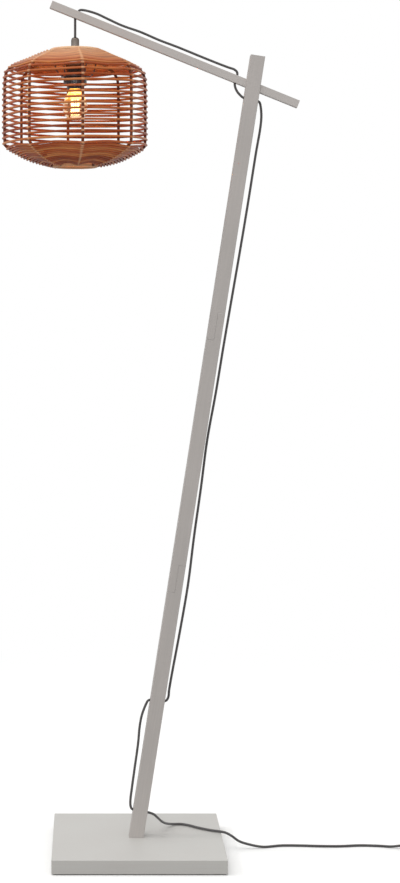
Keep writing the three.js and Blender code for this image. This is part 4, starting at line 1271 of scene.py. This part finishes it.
class Profile:
    """A line in the plane of radius and height, measured along its own length."""

    def __init__(self, points: Sequence[Vector]) -> None:
        """Measure the line.

        Args:
            points: Its points, with x as radius and z as height.
        """
        self.points = list(points)
        self.marks = [0.0]
        for start, end in zip(self.points, self.points[1:]):
            self.marks.append(self.marks[-1] + (end - start).length)

    @property
    def length(self) -> float:
        """The whole length."""
        return self.marks[-1]

    def at(self, distance: float) -> tuple[Vector, Vector]:
        """Find a point by its distance along the line.

        Args:
            distance: The distance from the line's start.

        Returns:
            The point, and the direction square to the line and away from the axis.
        """
        last = len(self.points) - 2
        span = min(max(sum(mark <= distance for mark in self.marks) - 1, 0), last)
        start, end = self.points[span], self.points[span + 1]
        share = (distance - self.marks[span]) / (self.marks[span + 1] - self.marks[span])
        run = (end - start).normalized()
        return start.lerp(end, share), Vector((-run.z, 0.0, run.x))


def inset(points: Sequence[Vector], distance: float) -> list[Vector]:
    """Move a line towards the axis, square to itself.

    Args:
        points: The line's points from top to bottom, with x as radius and z as height.
        distance: How far to move it.

    Returns:
        The moved points.
    """
    moved = []
    for index, point in enumerate(points):
        run = points[min(index + 1, len(points) - 1)] - points[max(index - 1, 0)]
        run.normalize()
        moved.append(point + Vector((run.z, 0.0, -run.x)) * distance)
    return moved


def short_of(start: Vector, end: Vector, distance: float) -> Vector:
    """Find the point on the way from one place to another, at a distance before its end."""
    return end + (start - end).normalized() * distance


@dataclass
class CaneShade:
    """The woven shade: cane ribs between two rims, with two strands wound over them side by side."""

    centre: Vector
    top: float
    bottom: float
    radius: float = 0.1783
    top_rim: float = 0.0625
    bottom_rim: float = 0.056
    shoulder_height: float = 0.09
    bowl_height: float = 0.06
    strand: float = 0.0058
    rib_strand: float = 0.0054
    bed: float = 0.0026  # how deep a strand beds in behind a rib's outer edge
    slack: float = 0.0003
    rib_radius: float = 0.0035
    rib_seat: float = 0.0012
    rim_wrap: float = 0.0044
    rim_wire: float = 0.0025
    ribs: int = 8
    rib_turn: float = 6.4  # degrees that the first rib stands to the right of the front
    strands: int = 2
    first_rib: float = 2.0
    start: float = -0.0019  # nearer to the top rim than one strand
    pitch: float = 0.0134  # along the ribs, from a course to the next, on the side
    tight_pitch: float = 0.0078  # on the cone and the bowl
    cone: float = 0.1009  # along the ribs, down to where the courses spread
    bowl: float = 0.112  # along the ribs, from where they close again
    bump: float = 0.0018  # over each rib
    bump_width: float = 0.007
    dip: float = 0.004  # towards the axis, halfway between two ribs
    wander: float = 0.0011
    wander_rates: Place = (0.31, 1.7, 0.043)  # with the bay, the strand, and the bay again
    bay_steps: int = 14
    gather: float = 0.12  # how much closer the steps lie at the ribs
    # How strongly the strands are painted paler over the ribs, as a painted highlight.
    painted_rib_highlight_share: float = 0.55
    strip_width: float = 0.0052
    strip_relief: float = 0.0007
    strip_steps: int = 14  # round a rim's wire
    wrap_steps: int = 6  # along the rim, for each turn of the strip
    strip_grain: float = 8.0
    ring_steps: int = 96
    hub_radius: float = 0.035
    hub_thickness: float = 0.002
    arm_radius: float = 0.002
    arms: int = 4
    top_shares: Pairs = (
        (0.0, 0.0), (0.24, 0.12), (0.45, 0.24), (0.68, 0.36), (0.8, 0.43), (0.93, 0.57), (0.972, 0.67),
        (0.99, 0.8), (1.0, 1.0),
    )
    bottom_shares: Pairs = (
        (1.0, 0.0), (0.985, 0.16), (0.91, 0.3), (0.74, 0.5), (0.56, 0.69), (0.38, 0.83), (0.19, 0.93),
        (0.0, 1.0),
    )
    arm_shares: Pairs = ((0.0, 0.0), (0.45, 0.1), (0.82, 0.35), (0.98, 0.8), (1.0, 1.0))

    def outline(self) -> list[Vector]:
        """Give the weave's outer line, from just under the top rim to just over the bottom one."""
        top_reach = self.radius - self.top_rim
        upper = [Vector((self.top_rim + across * top_reach, 0.0, self.top - down * self.shoulder_height))
                 for across, down in self.top_shares]
        reach = self.radius - self.bottom_rim
        lower = [Vector((self.bottom_rim + across * reach, 0.0,
                         self.bottom + (1 - down) * self.bowl_height))
                 for across, down in self.bottom_shares]
        clear = self.rim_wrap + self.rib_strand
        return [short_of(upper[1], upper[0], clear), *upper[1:], *lower[:-1],
                short_of(lower[-2], lower[-1], clear)]

    def rings(self) -> tuple[Vector, Vector]:
        """Give the middles of the two rims' wires, as radius and height."""
        wrap = self.rim_wrap
        return (Vector((self.top_rim - wrap, 0.0, self.top - wrap)),
                Vector((self.bottom_rim - wrap, 0.0, self.bottom + wrap)))

    def rib_points(self) -> list[Vector]:
        """Give the ribs' middle line, which ends on the two rims' wires."""
        line = inset(self.outline(), self.rib_strand - self.bed + self.rib_radius)
        top_ring, bottom_ring = self.rings()
        return [short_of(line[0], top_ring, self.rib_seat), *line,
                short_of(line[-1], bottom_ring, self.rib_seat)]

    def around(self, point: Vector, angle: float) -> Vector:
        """Place a point of the profile at an angle, in degrees, to the right of the front."""
        turn = math.radians(angle)
        return self.centre + Vector((point.x * math.sin(turn), -point.x * math.cos(turn), point.z))

    def make_ribs(self) -> None:
        """Make the ribs and the two rims' wires."""
        line = smooth_line(self.rib_points(), steps=4)
        lines = [[self.around(point, self.rib_turn + rib * 360 / self.ribs) for point in line]
                 for rib in range(self.ribs)]
        show(swept("cane_ribs", lines, self.rib_radius, sides=12), SHADED_RIB_CANE, "shade_frame")
        loops = [[self.around(ring, step * 360 / self.ring_steps) for step in range(self.ring_steps)]
                 for ring in self.rings()]
        show(swept("rim_wires", loops, self.rim_wire, sides=8, rings=True), BULB_LIT_WIRE)

    def wind(self, line: Profile, first_rib: float) -> list[Vector]:
        """Wind one strand from rim to rim, from right to left at the front.

        It bends over the outside of each rib, and runs straighter than the shade's round to the next.

        Args:
            line: The ribs' middle line.
            first_rib: The rib where it starts.

        Returns:
            The strand's middle line.
        """
        clear = self.rim_wrap + self.strand + self.start
        reach = self.rib_radius + self.strand / 2 - self.bed
        run = line.length - 2 * clear
        bays = int(sum(length / fall for length, fall in self.zones(run)))
        places = []
        for step in range(bays * self.bay_steps + 1):
            bay, part = divmod(step, self.bay_steps)
            share = part / self.bay_steps
            share -= self.gather * math.sin(math.tau * share)
            down = clear + self.fallen(run, bay + share) + self.stray(first_rib, bay + share)
            point, out = line.at(down)
            away = min(share, 1 - share) * math.tau * point.x / self.ribs
            sunk = self.bump * (1 - math.exp(-(away / self.bump_width) ** 2))
            sunk += self.dip * (1 - math.cos(math.tau * share)) / 2
            angle = self.rib_turn + (first_rib - bay - share) * 360 / self.ribs
            places.append(self.around(point + out * (reach - sunk), angle))
        return places

    def zones(self, run: float) -> Pairs:
        """Give the cone's, the side's and the bowl's share of a run, each with its fall from rib to rib."""
        tight, loose = (pitch * self.strands / self.ribs for pitch in (self.tight_pitch, self.pitch))
        return (self.cone, tight), (run - self.cone - self.bowl, loose), (self.bowl, tight)

    def fallen(self, run: float, bays: float) -> float:
        """Say how far along the ribs a strand has come after a number of bays."""
        done = 0.0
        for length, fall in self.zones(run):
            passed = min(bays, length / fall)
            done += passed * fall
            bays -= passed
        return done

    def stray(self, strand: float, bay: float) -> float:
        """Say how far a strand strays along the ribs from its even pitch, as hand weaving does."""
        first, second, third = self.wander_rates
        return self.wander * noise.noise(Vector((bay * first, strand * second, bay * third)))

    def make_weave(self) -> None:
        """Wind the strands, which together cover the cone, the side and the bowl."""
        line = Profile(smooth_line(self.rib_points(), steps=6))
        lines = [self.wind(line, self.first_rib + strand * self.ribs / self.strands)
                 for strand in range(self.strands)]
        # The strands' finish carries a painted highlight over each rib and painted top light on the cone.
        finish = Cane("stained_cane_painted_light", Slot.CANE, painted_rib_highlight_share=self.painted_rib_highlight_share, ribs=self.ribs,
                      axis=(self.centre.x, self.centre.y), rib_turn=self.rib_turn)
        show(swept("wound_cane", lines, self.strand / 2, sides=8), finish, "weave_top",
             "weave_side_1", "weave_side_2", "weave_bottom")

    def turn_of(self, vert: bmesh.types.BMVert) -> float:
        """Say how far round the shade's axis a vertex lies, in radians."""
        arm = vert.co - self.centre
        return math.atan2(arm.y, arm.x)

    def make_rim(self, name: str, node: str, ring: Vector) -> None:
        """Wrap a flat strip of cane round a rim.

        Args:
            name: The piece's name.
            node: Its node's name.
            ring: The middle of the rim's wire, as radius and height.
        """
        wraps = round(math.tau * ring.x / self.strip_width)
        radius = self.rim_wrap - self.strip_relief
        dots = [polar(radius, step * math.tau / self.strip_steps, 0.0)
                for step in range(self.strip_steps)]
        section = [(ring.x + dot.x, ring.z + dot.y) for dot in dots]
        bm = bmesh.new()
        for vert in add_turned(bm, section, self.centre, wraps * self.wrap_steps):
            turn = self.turn_of(vert)
            out = (vert.co - self.centre - polar(ring.x, turn, ring.z)).normalized()
            outer = (vert.co - self.centre).xy.length > ring.x
            roll = math.atan2(out.z, out.xy.length * (1 if outer else -1))
            phase = (turn * wraps + roll) / math.tau % 1.0
            vert.co += out * self.strip_relief * (1 - (2 * phase - 1) ** 4)
        layer = bm.loops.layers.uv.new("UVMap")
        for face in bm.faces:
            for loop in face.loops:
                wrap = self.turn_of(loop.vert) * wraps / math.tau
                loop[layer].uv = (loop.vert.co.z * self.strip_grain, wrap)
        show(mesh_from(bm, name, crease=60.0), RIM_CANE, node)

    def make_spider(self) -> None:
        """Make the hub that the lampholder clamps, and its arms up to the top rim's wire."""
        low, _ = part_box("shade_spider")
        hub_top = low.z + self.hub_thickness
        top_ring, _ = self.rings()
        start = Vector((self.hub_radius - self.arm_radius, 0.0, hub_top - self.hub_thickness / 2))
        end = Vector((top_ring.x + self.arm_radius / 2, 0.0, top_ring.z - self.rim_wire - self.slack))
        rise = end.z - hub_top
        bends = [Vector((self.hub_radius + (end.x - self.hub_radius) * across, 0.0, hub_top + rise * up))
                 for across, up in self.arm_shares]
        line = smooth_line([start, *bends[1:]], steps=6)
        first = self.rib_turn + 180 / self.ribs
        arms = [[self.around(point, first + arm * 360 / self.arms) for point in line]
                for arm in range(self.arms)]
        show(swept("spider_arms", arms, self.arm_radius, sides=10), BULB_LIT_WIRE, "shade_spider")
        section = [(HUB_BORE, hub_top), (self.hub_radius, hub_top), (self.hub_radius, low.z),
                   (HUB_BORE, low.z)]
        show(turned("spider_hub", section, self.centre, edge=0.0004), BULB_LIT_WIRE)

    def build(self) -> None:
        """Make the shade's pieces."""
        self.make_ribs()
        self.make_weave()
        for end, ring in zip(("top", "bottom"), self.rings()):
            self.make_rim(f"wrapped_rim_{end}", f"rim_binding_{end}", ring)
        self.make_spider()


def main() -> None:
    """Build the scene: first the camera and the lead, then the lamp from its base to its shade."""
    logging.basicConfig(level=logging.INFO, format="%(message)s")
    studio = Studio()
    studio.place_camera()
    Lead().lay()
    Stand().dress()
    SwitchSpring().build()
    low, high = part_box("shade_ring")
    centre = Vector(((low.x + high.x) / 2, (low.y + high.y) / 2, 0.0))
    LampHolder(centre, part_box("holder_cap")[1].z).build()
    Bulb(centre).build()
    CaneShade(centre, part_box("rim_binding_top")[1].z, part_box("rim_binding_bottom")[0].z).build()
    studio.lay_floor()
    studio.light()


if __name__ == "__main__":
    main()
